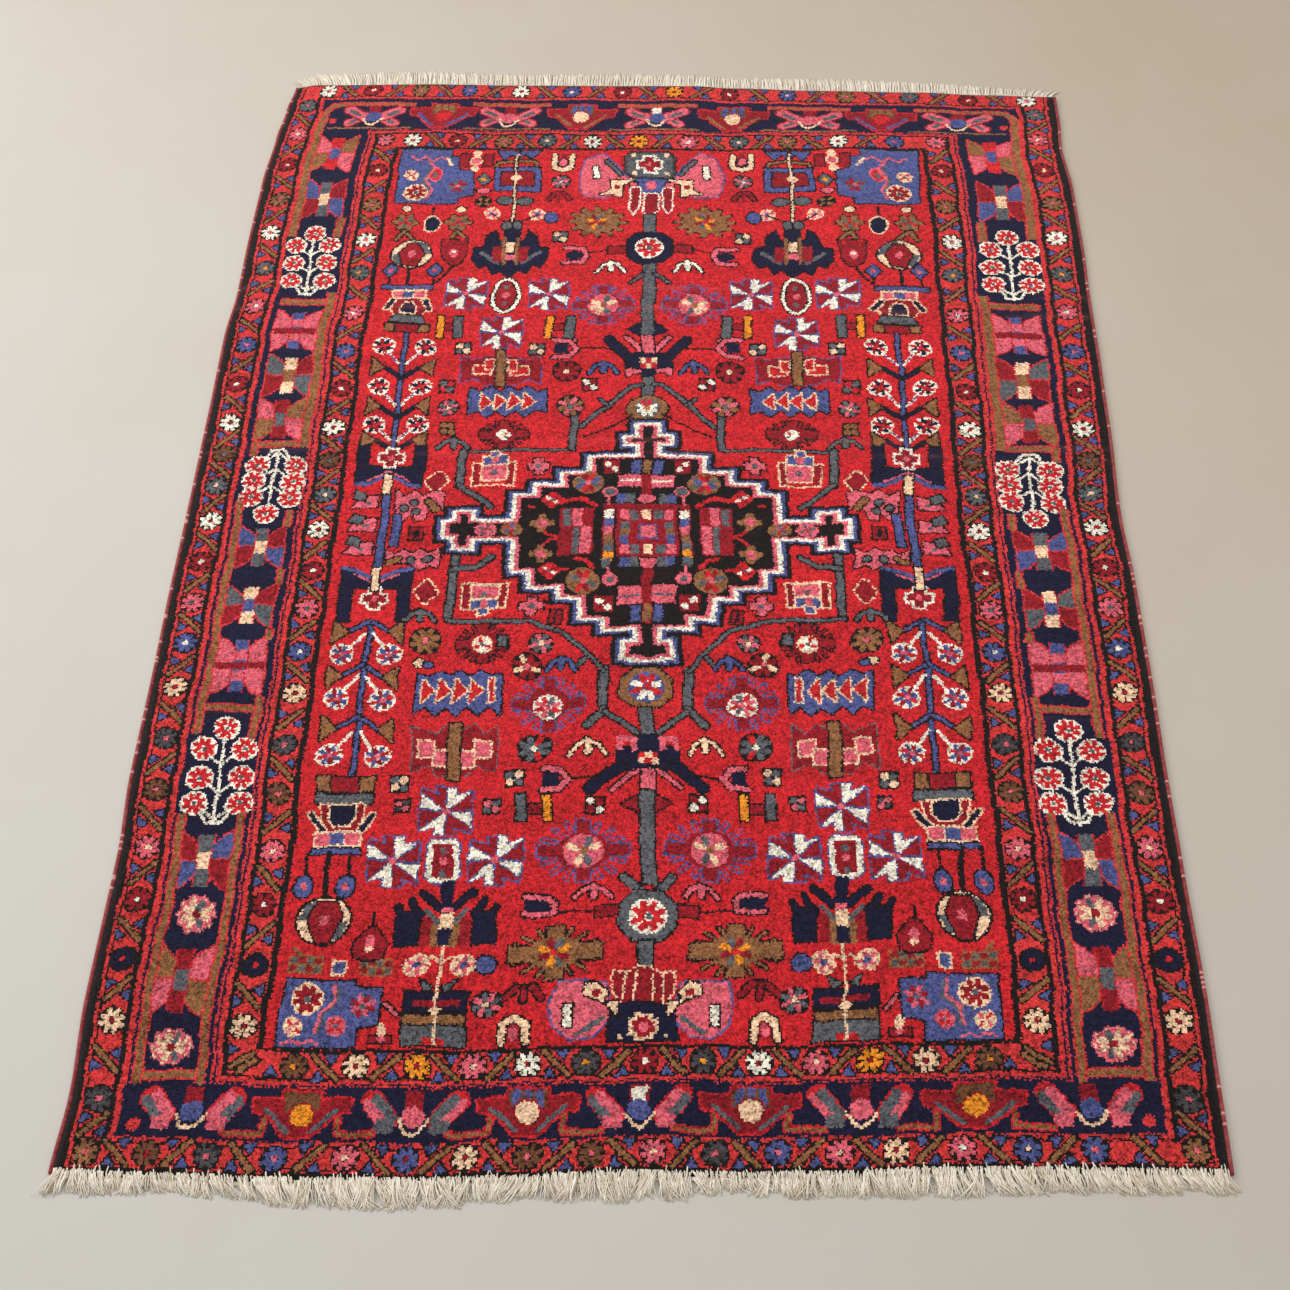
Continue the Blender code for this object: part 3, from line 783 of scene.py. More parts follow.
def draw_upper_knot(art):
    """The navy and pink knot on the middle stem, and the hooks beside it."""
    art.shape("N", half_points([(1.2, 42.4), (3.3, 40.8), (1.2, 39.3)], 0), "K")
    art.box("G", 0, 1, 39.2, 44)
    art.line("N", [(6.6, 38.2), (3.2, 34)], 1.6, "K")
    art.line("P", [(3.6, 38.9), (0.8, 35.2)], 0.9, "K")
    art.box("P", 0, 1, 34.8, 39.2, "K")
    art.shape("N", half_points([(3.7, 35), (3.7, 31.7), (2, 31)], 0), "K")
    for column in (-1, 0, 1):
        for row in (0, 1):
            colour = "R" if (column + row) % 2 else "E"
            art.box(colour, column * 0.9 - 0.45, column * 0.9 + 0.45, 31.6 + row * 1.3, 32.8 + row * 1.3)
    art.line("P", [(1.6, 31), (3.4, 31), (3.4, 30.2)], 0.9, "K")
    art.box("N", 0, 1.2, 29.6, 31)
    art.box("G", 0, 0.9, 25, 29.6, "K")
    art.line("P", [(12.4, 38.3), (14.6, 38.3)], 0.8, "K")
    hook(art, [(15.8, 38.4), (13.2, 38.2), (11.9, 36.3), (13.2, 34.6), (15.8, 34.3)], 0.8,
         (13.4, 15.8, 35.3, 37.6))
    art.line("K", [(5.5, 36.1), (11.5, 36.3)], 0.4)
    for place, along, first, second in ((18.6, 36.3, "E", "G"), (31.5, 36.2, "E", "G"),
                                        (33.6, 27.4, "G", "R"),
                                        (9.6, 27.8, "W", "r")):
        art.dice(place, along, first, second)
    art.rosette(13.6, 30.9, 2.4, "r", "E", "K", 8)
    art.anchor("B", 7.5, 32.8, 2.3, 2.4)


def draw_upper_bracket(art):
    """The grey brackets above the medallion, with their flowers."""
    art.oval("M", 0, 22.2, 3.5, 2.8, "K")
    art.rosette(0, 22.3, 2.0, "WRWW", "O", "G", 8, 0.2)
    art.line("G", [(1, 27.8), (2.6, 27.5), (11, 18.4)], 0.6, "K")
    art.line("G", [(6.4, 22.9), (8, 24.4)], 0.45, "K")
    art.line("K", [(2.6, 21), (5, 19), (10.5, 16.3)], 0.4)
    art.line("K", [(12.1, 20.8), (12.1, 13.4), (30.1, 13.2)], 0.85)
    art.line("G", [(12.1, 20.8), (12.1, 13.4), (30.1, 13.2)], 0.4)
    art.box("G", 11.6, 12.6, 13.4, 20.8, "K")
    art.line("G", [(30.1, 13.2), (30.1, 6)], 1.1, "K")
    art.line("G", [(30.1, 6), (24.5, 1.4)], 0.65, "K")
    art.rosette(12.8, 23, 2.3, "PM", "G", "K", 8)


def draw_upper_leaf(art):
    """The dark red leaf, the blue comb and the flower below them."""
    scribble = [(18, 34.4), (20.5, 33.6), (23, 34.5), (27, 34.5), (29.5, 33.6), (31.9, 34.4), (31.6, 28.2),
                (29.6, 29.4), (28, 28), (22, 28), (20.2, 29.4), (18.2, 28.2)]
    art.shape("r", scribble, "B", 0.2)
    for side in (-1, 1):
        art.box("R", 24.9 + side * 3.2 - 1.4, 24.9 + side * 3.2 + 1.4, 30.4, 32.2, "E")
        art.box("R", 24.9 + side * 1.9 - 0.6, 24.9 + side * 1.9 + 0.6, 31.4, 33.6, "E")
    art.box("M", 24.2, 25.7, 27.8, 35.8, "K")
    comb(art, ((16.9, 21.6), (16.9, 27), (29.7, 27), (29.7, 21.4)), 1.6, (27.6, 26.4), (20.8, 22.2),
         [(18.9, 24.2), (20.7, 26), (20.7, 22.4)])
    art.rosette(33, 22.6, 1.8, "GP", "E", "K", 8)
    art.dice(33, 18, "M", "M")
    art.rays("r", 23.4, 16.8, 4.0, 3.0, "K", "r", 1.6)
    art.rosette(23.4, 16.8, 1.05, "WRGW", "E", "W", 4)
    art.anchor("G", 31.8, 15.8, 2.5, 1.9)
    art.cross("P", 17.4, 9.9, 1.7, 0.7, "K")
    art.oval("G", 17.4, 9.9, 0.5)


def framed_box(art, along, rise):
    """A small pink house in a cream and dark red frame."""
    art.box("r", 21.5, 28.0, along - 2.8, along + 1.7, "E")
    art.box("R", 22.5, 27.0, along - 2.8, along + 1.7)
    art.box("P", 22.7, 26.6, along - 1.8 if rise > 0 else along - 0.8, along + 1.4, "E")
    top = along + 1.6 if rise > 0 else along - 2.9
    art.box("B", 22.7, 26.6, top, top + 1.7, "E")
    peak = top + 1.7 if rise > 0 else top - 1.1
    art.box("B", 24.1, 25.4, peak, peak + 1.1, "E")
    art.oval("P", 24.7, top + 0.9, 0.6, 0.8)
    art.oval("G", 24.7, along - 0.2, 0.5)


def draw_side_tree(art):
    """The tree by the side border: vases at its ends and pairs of flowers and leaves."""
    art.box("E", 39.5, 45.3, 47.8, 50, "E")
    for left, colour in ((39.6, "P"), (41.6, "B"), (43.4, "P")):
        art.box(colour, left, left + 1.8, 48.1, 49.8)
    art.shape("r", half_points([(2.6, 48), (3.6, 46.2), (2.4, 44.3)], 42.2), "E", 0.3)
    art.shape("N", half_points([(0.6, 47), (1.3, 46), (1.3, 44.6)], 42.2), "E", 0.3)
    for side in (-1, 1):
        art.line("N", [(42.2 + side * 3, 47.6), (42.2 + side * 4, 45.8)], 0.9, "E")
    art.shape("G", half_points([(2.4, 44), (3.2, 42.4)], 42.0), "K")
    art.box("M", 38, 45.7, 40.2, 41.8, "K")
    art.box("r", 39.9, 43.9, 40.2, 41.8, "K")
    for low, high in ((14.1, 39.7), (-48.5, -21.4)):
        art.line("B", [(41.7, low), (41.7, high)], 0.6, "K")
    upper = ((36.6, 32.6, 31.9), (27.3, 23.2, 22.9), (18.8, 15.2, 15.4))
    for along, foot, leaf in upper:
        for side in (-1, 1):
            place = 41.7 + side * 3.6
            art.line("W", [(41.7 + side * 0.6, foot), (place, along)], 0.5)
            art.line("B", [(41.7 + side * 0.9, foot + 0.4), (place, along)], 0.2)
            art.rosette(place, along, 1.8, "NrNR", "R", "W", 8, 0.25)
            art.line("N", [(41.7, leaf - 2.6), (41.7 + side * 3.2, leaf)], 0.5, "K")
            art.shape("M", [(41.7 + side * 5.3, leaf + 1.9), (41.7 + side * 5.3, leaf - 2.0),
                            (41.7 + side * 3.1, leaf)], "K")
    lower = ((-27.3, -23.6, -23.2), (-35.5, -31.4, -31.5), (-45.1, -41.2, -40.6))
    for along, foot, leaf in lower:
        for side in (-1, 1):
            place = 41.9 + side * 3.5
            art.line("W", [(41.9 + side * 0.6, foot), (place, along)], 0.5)
            art.rosette(place, along, 1.8, "BrBR", "P", "W", 8, 0.25)
            art.line("B", [(41.9, leaf + 2.2), (41.9 + side * 3.2, leaf)], 0.5, "K")
            art.shape("M", [(41.9 + side * 5.3, leaf + 2.0), (41.9 + side * 5.3, leaf - 2.2),
                            (41.9 + side * 3.0, leaf)], "K")


def draw_side_middle(art):
    """The winged forms, stem and pink flags where the two trees meet."""
    for sign, high, low, last in ((1, 14.1, 5.7, 5.7), (-1, -11.0, -21.2, -11.0)):
        for side in (-1, 1):
            art.box("N", 41.6 + side * 4.6 - 0.9, 41.6 + side * 4.6 + 0.9, low, high, "K")
        wing = [(36.1, last), (36.1, last + sign * 3.8), (47.1, last + sign * 3.8), (47.1, last),
                (44.6, last + sign * 0.6), (41.6, last + sign * 2.6), (38.6, last + sign * 0.6)]
        art.shape("N", wing, "K")
        art.line("B", [(36.3, last), (38.6, last + sign * 0.4), (41.6, last + sign * 2.4),
                       (44.6, last + sign * 0.4), (46.9, last)], 0.7)
        art.line("P", [(38.2, last + sign * 1.0), (41.6, last + sign * 3.0), (45, last + sign * 1.0)], 0.35)
        middle = last + sign * 5.8
        art.cross("W", 41.6, middle, 2.2, 1.1)
        art.cross("r", 41.6, middle, 1.8, 0.7)
        art.oval("P", 41.6, middle, 0.5)
    art.box("E", 41.1, 42.3, 3.7, 8.0, "K")
    art.box("B", 41.1, 42.2, -10.9, 3.7, "K")
    art.box("E", 41.1, 42.2, -15.3, -10.9, "K")
    for along in (2.4, -2.3, -6.8):
        art.shape("P", [(43, along - 1.3), (47.2, along - 1.5), (46, along + 0.6), (43, along + 1.2)], "K")
        art.shape("G", [(45.2, along), (47.2, along + 0.4), (46.6, along + 2.0), (45, along + 1.4)], "K")
        art.oval("G", 44.6, along - 0.4, 0.4)


def draw_lower_vase(art):
    """The vase under the lower tree."""
    art.box("M", 38.4, 46.4, -51, -48.6, "K")
    art.box("r", 40.5, 44.2, -51, -48.6, "K")
    art.box("G", 38.2, 46.4, -53, -51.5, "K")
    art.shape("r", half_points([(3.2, -53.2), (2.4, -57.4)], 42.5), "E", 0.3)
    art.shape("N", half_points([(1.8, -53.2), (1.8, -55.4), (0.9, -56.6)], 42.5), "E", 0.3)
    for side in (-1, 1):
        art.line("N", [(42.5 + side * 4.3, -55), (42.5 + side * 2.6, -57.4)], 0.8, "E")
    art.box("E", 39.5, 46.6, -60, -57.5)
    for left, colour in ((39.8, "P"), (42.1, "B"), (44.2, "P")):
        art.box(colour, left, left + 2.1, -59.7, -57.8)
    art.box("B", 39.8, 46.6, -61.1, -60.3, "K")


def draw_sides(art):
    """The animals, boxes and bracket beside the medallion."""
    for along in (6.8, -15.5):
        art.shape("r", half_points([(0.3, along + 2.1), (1.8, along), (0.3, along - 2.1)], 33.6), "E", 0.22)
    beast = [(40.2, 4.9), (38.6, 3.6), (37, 4.9), (35.6, 3.8), (33.6, 4.8), (32.2, 4.4), (32.3, 0.8),
             (33.6, 1.2), (34.6, 0.6), (35.2, -1.2), (36.6, -1.3), (37.2, 0), (38.6, -1.2), (39.8, 0.4)]
    art.shape("P", beast, "K")
    art.line("M", [(34.8, 2.6), (33.4, 1.0)], 1.1, "K")
    for place, along in ((37, 2.4), (38.6, 1.3), (36.6, 0.5)):
        art.oval("G", place, along, 0.6, 0.6, "K")
    beast = [(40.6, -7.4), (39.2, -8.2), (38, -7.2), (36.6, -8), (35.4, -7), (34.2, -8), (32.4, -7.2),
             (32.2, -11), (33.8, -10.4), (35, -11.4), (36.4, -10), (38.4, -9.8), (40.4, -10.2)]
    art.shape("P", beast, "K")
    art.line("M", [(40, -9.8), (38.6, -9)], 0.9, "K")
    for place in (34, 36.6):
        art.oval("G", place, -9.2, 0.6, 0.6, "K")
    art.box("r", 35.4, 37.4, -5.2, -2.8, "K")
    art.oval("K", 36.4, -4, 0.5, 0.9)
    art.box("B", 39.0, 40.2, -6.6, -0.1, "K")
    art.line("G", [(29.8, -7.5), (29.8, -20.6)], 1.1, "K")
    art.line("G", [(30, -11), (26.5, -10.6), (24, -8.6)], 0.8, "K")
    art.anchor("G", 34.2, -19.2, 2.4, 1.8)
    art.rosette(33.1, -24.7, 2.4, "M", "P", "K", 8)
    art.oval("E", 33.9, -28.7, 0.7, 0.7, "K")
    art.oval("B", 32.5, -28.9, 0.7, 0.5, "K")
    framed_box(art, 8.8, 1)
    framed_box(art, -15.6, -1)


MEDALLION = (
    (0, 18.2), (0.8, 18.2), (0.8, 15.5), (2.8, 15.5), (2.8, 14.8), (0.8, 14.8), (0.8, 11.3), (8.2, 11.3),
    (8.2, 8.1),
    (12.5, 8.1), (12.5, 5.5), (16.9, 5.5), (16.9, 3.3), (20.0, 3.3), (20.0, -1.9), (28.2, -1.9),
    (28.2, -0.1),
    (29.4, -0.1), (29.4, -2.0), (31.0, -2.0), (31.0, -4.3), (29.4, -4.3), (29.4, -6.5), (28.2, -6.5),
    (28.2, -4.5),
    (19.8, -4.5), (19.8, -11.0), (17.2, -11.0), (17.2, -14.2), (12.6, -14.2), (12.6, -16.3), (9.3, -16.3),
    (9.3, -20.3), (5.8, -20.3), (5.8, -22.3), (0.9, -22.3), (0.9, -25.9), (2.7, -26.2), (2.7, -27.6),
    (1.2, -27.9),
    (0, -28.3),
)


def draw_medallion(art):
    """The black stepped medallion with its blue, cream and pink outlines."""
    outline = list(MEDALLION)
    for colour, wide, tall in (("K", 2.7, 1.85), ("B", 2.0, 1.3), ("W", 1.4, 0.9), ("P", 0.65, 0.35)):
        for start, stop in zip(outline, outline[1:]):
            art.box(colour, min(start[0], stop[0]) - wide, max(start[0], stop[0]) + wide,
                    min(start[1], stop[1]) - tall, max(start[1], stop[1]) + tall)
    art.shape("K", [(-1, 18.2), *outline, (-1, -28.3)])
    art.box("r", 0, 7.0, -8.9, 1.7)
    art.box("K", 4.9, 5.3, -8.9, 1.0)
    squares = (
        (0, -0.5, "E"), (2.0, -0.5, "G"), (3.6, -0.5, "P"), (6.1, -0.5, "W"), (3.6, -2.8, "G"),
        (6.1, -2.2, "B"),
        (3.6, -4.2, "M"), (6.1, -3.8, "P"), (3.6, -5.4, "B"), (6.1, -5.4, "M"), (0, -7.4, "E"),
        (2.0, -7.4, "G"),
        (3.6, -7.4, "P"), (6.1, -7.1, "G"), (6.1, -8.7, "O"), (2.2, -9.9, "G"), (3.6, -9.9, "B"),
        (6.2, -10.0, "G"),
        (2.6, 2.8, "G"), (4.0, 2.8, "B"),
    )
    for place, along, colour in squares:
        art.box(colour, place - 0.7, place + 0.7, along - 0.95, along + 0.95)
    art.box("P", 0, 1.2, -5.1, -2.8, "B")
    art.shape("P", half_points([(1.3, -9.2), (1.1, -10.6), (0.3, -11.4)], 0))
    art.box("r", 0, 0.8, -22, -11)
    for low, high, stripe in ((-18.1, -14.6, -16.5), (5.2, 7.7, 6.5)):
        art.box("P", 0, 4.5, low, high)
        art.box("G" if stripe < 0 else "W", 0.9, 4.2, stripe - 0.2, stripe + 0.2)
        art.box("r", 0, 0.8, low, high)
    for low, high in ((-21.6, -18.3), (7.9, 10.7)):
        art.box("B", 1.0, 2.4, low, high)
        art.box("M", 0, 0.6, low, high)
    art.box("r", 0, 0.8, 3.2, 5.2)
    art.oval("P", 0, 2.8, 1.4, 0.9)
    art.line("P", [(6.0, 4.2), (6.0, 1.7)], 0.5)
    art.oval("G", 5.7, 4.3, 0.9, 0.8, "P")
    art.line("P", [(5.9, -11), (5.9, -12.6)], 0.5)
    art.rosette(5.6, -13.3, 1.2, "P", "G", "P", 6, 0.5)
    art.dice(6.6, -18.0, "W", "r", 1.25, "r")
    art.dice(5.6, 9.6, "W", "r", 1.1, "r")
    art.oval("M", 9.8, -13.6, 2.6, 2.5)
    art.rosette(9.8, -13.6, 2.3, "GrRM", "P", "M", 8)
    art.oval("M", 9.2, 6.2, 2.6, 2.1)
    art.rosette(9.2, 6.2, 2.2, "GrRB", "P", "M", 8)
    for along in (-1.8, -8.1):
        art.burst("M", 16.4, along, 1.9, 1.8, 4, 0.35)
        art.oval("P", 16.4, along, 0.8)
    art.line("R", [(16, -3.6), (15, -4.4), (13.9, -4.7)], 0.45)
    art.line("R", [(16, -6.4), (15, -5.4), (13.9, -5.1)], 0.45)
    for along in (-11.4, 3.0):
        art.burst("R", 15.0, along, 1.7, 1.7, 4, 0.3)
        art.rosette(15.0, along, 1.3, "WRr", "G", "R", 6)
    art.line("R", [(13.6, -11.2), (12.2, -11.4)], 0.5)
    art.line("R", [(10.9, -9.3), (9.4, -9.6), (8.2, -11)], 0.7)
    art.line("R", [(13.6, 2.5), (10.5, 3.0), (8.2, 1.4)], 0.8)
    art.box("R", 17.6, 19.0, 1.2, 1.7)
    art.box("r", 8.5, 13.7, -8.5, 1.0)
    art.box("G", 12.0, 13.2, -2.6, 0.8)
    art.box("P", 10.2, 11.7, -2.6, 0.9)
    art.box("r", 11.7, 13.6, -8.4, -2.8)
    art.box("G", 10.6, 11.6, -8.3, -2.8)
    art.box("P", 8.8, 10.4, -8.3, -2.8)
    art.oval("M", 21.0, -3.1, 1.8, 1.3)
    art.rosette(21.0, -3.1, 1.25, "RBMG", "R", "M", 6)
    art.oval("P", 25.2, -3.1, 1.8, 1.3)
    art.rosette(25.2, -3.1, 1.35, "GP", "R", "P", 8)


def draw_lower_column(art):
    """The grey middle stem below the medallion, with its branches and knots."""
    art.line("G", [(6.2, -37.5), (6.2, -30.3)], 1.2, "K")
    branch = [(6.3, -30.5), (8.3, -27.7), (12.9, -22.8), (15.7, -22.2), (17.3, -21.2), (30, -20.8)]
    art.line("K", branch, 1.1)
    art.line("G", branch, 0.6)
    art.line("G", [(9.0, -28.0), (10.2, -29.4)], 0.6, "K")
    art.line("G", [(6.2, -37.5), (8.7, -40.3)], 1.0, "K")
    art.line("G", [(6.0, -38.0), (1.4, -41.8)], 0.7, "K")
    art.shape("M", half_points([(1.8, -30.3), (3.8, -32.2), (3.8, -35.2), (1.8, -37.1)], 0), "K")
    art.rosette(0, -33.7, 2.5, "WRWR", "R", "B", 8, 0.2)
    art.box("G", 0, 0.95, -41.8, -37.3, "K")
    art.shape("N", half_points([(1.3, -41.9), (1.6, -44), (4.4, -44.2), (4.5, -47.6), (2.2, -48)], 0), "K")
    art.line("P", [(2.0, -44.2), (2.0, -42.6), (4.1, -42.6), (4.1, -44.2)], 0.9)
    for column in (0, 1):
        for row in (0, 1):
            art.box("E" if (column + row) % 2 else "R", column * 0.7 - 0.1, column * 0.7 + 0.7, -46.9 + row,
                    -45.9 + row)
    art.line("N", [(4.0, -47.2), (8.0, -51)], 1.5, "K")
    art.line("P", [(1.4, -48), (2.6, -48.8), (4.7, -51)], 0.7, "K")
    art.box("P", 0, 0.95, -51.3, -47.8, "K")
    art.line("K", [(6.4, -49.1), (10.4, -49.3)], 0.4)
    hook(art, [(14.4, -47.5), (12.2, -47.7), (10.9, -49.3), (12.2, -50.8), (14.4, -51)], 0.8,
         (12.2, 14.5, -50.3, -48.2))
    art.shape("r", half_points([(0.8, -52), (3.5, -53.6), (0.8, -55.2)], 0), "K")
    art.box("G", 0, 0.95, -66.5, -51.4, "K")


def draw_lower_flowers(art):
    """The rayed flowers, dice and bars beside the lower stem."""
    art.rays("r", 14.2, -36.2, 5.2, 4.6, "B")
    art.rosette(14.2, -36.7, 2.05, "PRG", "P", "W", 8)
    art.anchor("B", 12.4, -28.1, 2.1, 2.0)
    art.rosette(17.5, -29.5, 2.3, "rEr", "P", "K", 8)
    art.rosette(15.6, -25.3, 1.8, "GP", "E", "K", 8)
    art.box("r", 13.0, 14.6, -21.6, -19.2, "K")
    art.box("K", 13.6, 14.0, -21.6, -19.2)
    art.cross("P", 17.5, -18.3, 1.7, 0.65, "K")
    art.oval("G", 17.5, -18.3, 0.5)
    art.rays("r", 24.3, -25.2, 4.0, 3.6, "K", "r", 1.6)
    art.rosette(24.3, -25.4, 1.5, "WRW", "G", "E", 8)
    art.rosette(15.9, -43.9, 2.4, "GGR", "W", "K", 8)
    art.anchor("E", 8.6, -42.8, 2.5, 2.5)
    art.dice(18.4, -48.8, "G", "E")
    art.dice(21.7, -53.4, "P", "G", 1.1)
    art.dice(7.2, -53.6, "W", "r")
    art.box("r", 14.3, 17.2, -54.8, -53.4, "K")
    art.box("O", 13.3, 14.4, -56, -51.9, "K")
    art.box("G", 17.0, 18.3, -56, -51.6, "K")
    art.box("G", 20.6, 21.9, -25.6, -23.9, "K")


def draw_lower_leaf(art):
    """The blue comb, the dark red leaf, and the white ring between the pinwheels."""
    comb(art, ((21.2, -31), (21.2, -38), (33.6, -37.6), (33.6, -30.6)), 1.55, (-38.2, -36.6), (-30.2, -31.2),
         [(24.0, -33.8), (25.8, -31.7), (25.8, -35.9)])
    art.box("R", 22.3, 23.0, -35.8, -31.8)
    art.line("E", [(22.2, -31.6), (22.2, -36.0), (23.2, -36.0), (23.2, -31.6), (22.2, -31.6)], 0.3)
    outline = [(21.2, -40), (23.2, -41.4), (24.6, -39.8), (26.6, -41), (28.6, -39.8), (30, -41.4),
               (33.6, -40.2), (33.4, -47.8), (31, -46.6), (29.6, -48.6), (25.4, -48.2), (23.8, -46.6),
               (21.2, -47.8)]
    art.shape("r", outline, "G", 0.2)
    for left, right, low, high in ((22.2, 24.4, -45.2, -42.6), (24.4, 26.6, -46.8, -44.4),
                                   (28.2, 30.4, -46.8, -44.4), (30.4, 32.6, -45.2, -42.6)):
        art.box("P", left, right, low, high, "E")
    art.box("M", 26.5, 28.2, -49, -39.5, "K")
    art.dice(34.8, -49.8, "G", "E")
    art.dice(34.0, -53.5, "P", "D", 0.95)
    art.shape("W", half_points([(1.5, -58.7), (2.3, -59.6), (2.3, -64.4), (1.5, -65.3)], 27.9), "B", 0.25)
    art.box("r", 26.4, 29.4, -64.6, -59.4)
    for along, colour in ((-60.6, "G"), (-62.1, "P"), (-64.0, "G")):
        art.oval(colour, 27.9, along, 0.55, 0.55)


def draw_lower_end(art):
    """The flowers, fan and lobes at the lower end of the middle stem."""
    art.rays("r", 8.9, -60.9, 6.3, 4.8, "B")
    art.rosette(8.9, -60.9, 2.55, "EPG", "M", "P", 8)
    art.line("G", [(3.4, -65.3), (1.0, -67.8)], 1.0, "K")
    art.box("r", 3.6, 6.9, -71.2, -69.6, "K")
    art.line("K", [(6.9, -70.3), (12, -70.3)], 0.4)
    art.shape("G", half_points([(1.8, -67.6), (3.9, -69.6), (3.9, -72.6), (1.8, -75)], 0), "K")
    art.rosette(0, -71.3, 2.5, "R", "G", "W", 8)
    hook(art, [(16.4, -67.9), (13.2, -67.9), (12.2, -69), (12.4, -70.3), (16.4, -70.4)], 0.7,
         (13.0, 16.6, -69.9, -68.4))
    art.anchor("P", 7.4, -66.5, 2.4, 1.8)
    art.box("G", 0, 0.95, -78.7, -75, "K")
    art.rays("M", 12.1, -76.3, 6.3, 3.9, "K", "M", 2.4)
    art.rosette(12.1, -76.3, 2.3, "OrG", "R", "M", 8)
    fan = half_points([(1.0, -78.9), (2.0, -79.6), (4.1, -79.3), (4.0, -82.4), (2.6, -84.4)], 0)
    art.shape("r", fan, "E", 0.25)
    for place in (1.1, 2.5):
        art.line("E", [(place, -79.6), (place + 0.2, -83.8)], 0.25)
    lobe = [(5.0, -81.0), (11.4, -80.8), (12.1, -84), (11.4, -87.2), (9.2, -89), (6.2, -88.4), (4.2, -86),
            (4.6, -84.6)]
    art.shape("P", lobe, "B")
    art.box("W", 9.2, 10.2, -87.2, -84.2, "K")
    art.line("G", [(8.3, -88.2), (5.3, -86.0)], 0.7)
    art.shape("N", half_points([(1.6, -83.8), (4.3, -85), (4.5, -89.2)], 0), "K")
    art.cross("E", 0, -87.2, 1.9, 1.2)
    art.cross("r", 0, -87.2, 1.5, 0.8)
    art.oval("P", 0, -87.2, 0.7)
    art.shape("E", [(2.5, -88.9), (2.9, -88.2), (3.3, -88.9)])
    art.shape("E", [(3.4, -86), (3.4, -83.6), (5.0, -83.8), (7.9, -82.6), (7.8, -81.2), (6.4, -80.8),
                    (4.6, -82.4), (5.4, -83.2)], "K")
    art.oval("r", 6.3, -82.4, 0.6)
    art.line("r", [(13.2, -82.8), (14.4, -81.2), (16.6, -81.2), (18.2, -82.8)], 0.8, "K")
    art.line("r", [(15.6, -81.2), (15.6, -83)], 0.7, "K")
    art.rosette(20.2, -83.4, 1.9, "PG", "E", "K", 8)
    art.line("E", [(14.8, -89.0), (15.0, -86.4), (16.4, -85.5), (17.8, -86.4), (18.0, -89.0)], 0.9, "K")
    art.oval("P", 16.4, -87.6, 0.6, 1.0, "r")


def draw_lower_tower(art):
    """The antlered navy flower and the framed boxes below it."""
    art.oval("B", 21, -77.9, 1.3, 1.2, "K")
    for place in (24, 30.1):
        art.rosette(place, -77.9, 1.6, "P", "B", "E", 5, 0.32)
    for side in (-1, 1):
        for paint, grow in (("K", RIM), ("N", 0.0)):
            art.box(paint, 26.9 + side * 5.1 - 1.5 - grow, 26.9 + side * 5.1 + 1.5 + grow, -74.8 - grow,
                    -70 + grow)
            art.line(paint, [(26.9 + side * 5.9, -70.6), (26.9 + side * 6.7, -69.2)], 0.6 + 2 * grow)
            art.line(paint, [(26.9 + side * 5.0, -68.2), (26.9 + side * 4.6, -69.3),
                             (26.9 + side * 3.6, -70.2)],
                     0.7 + 2 * grow)
            art.line(paint, [(26.9 + side * 3.5, -67.1), (26.9 + side * 2.5, -67.8),
                             (26.9 + side * 1.2, -69.2)],
                     0.8 + 2 * grow)
    art.box("r", 23.8, 30.2, -75, -70.6)
    art.box("M", 25.2, 28.8, -75.2, -71)
    art.line("G", [(24.2, -69.6), (25.8, -71.4)], 0.7)
    art.line("G", [(29.8, -69.6), (28.2, -71.4)], 0.7)
    art.box("N", 26.1, 27.9, -75, -65)
    art.box("P", 26.2, 27.8, -70.0, -69.2)
    art.box("E", 26.1, 27.9, -72.6, -70.2)
    for low, high, colour in ((-84.4, -81.8, "N"), (-86.2, -85.0, "M"), (-89.2, -86.5, "G")):
        art.box(colour, 22.8, 31.2, low, high, "K")
    art.box("r", 23.6, 30.0, -83.8, -82.9)
    art.box("R", 25.6, 28.4, -89.2, -88.2)
    for side in (-1, 1):
        art.shape("G", [(26.9 + side * 0.5, -81), (26.9 + side * 2.3, -80), (26.9 + side * 1.6, -81.6)], "K")
        art.line("E", [(26.9, -77.6), (26.9 + side * 1.2, -76.6), (26.9 + side * 2.2, -77.6)], 0.4)
    art.line("E", [(26.9, -75.2), (26.9, -89)], 0.4)
    art.shape("E", [(26.9, -83.4), (27.8, -84.3), (26.9, -85.2), (26, -84.3)])


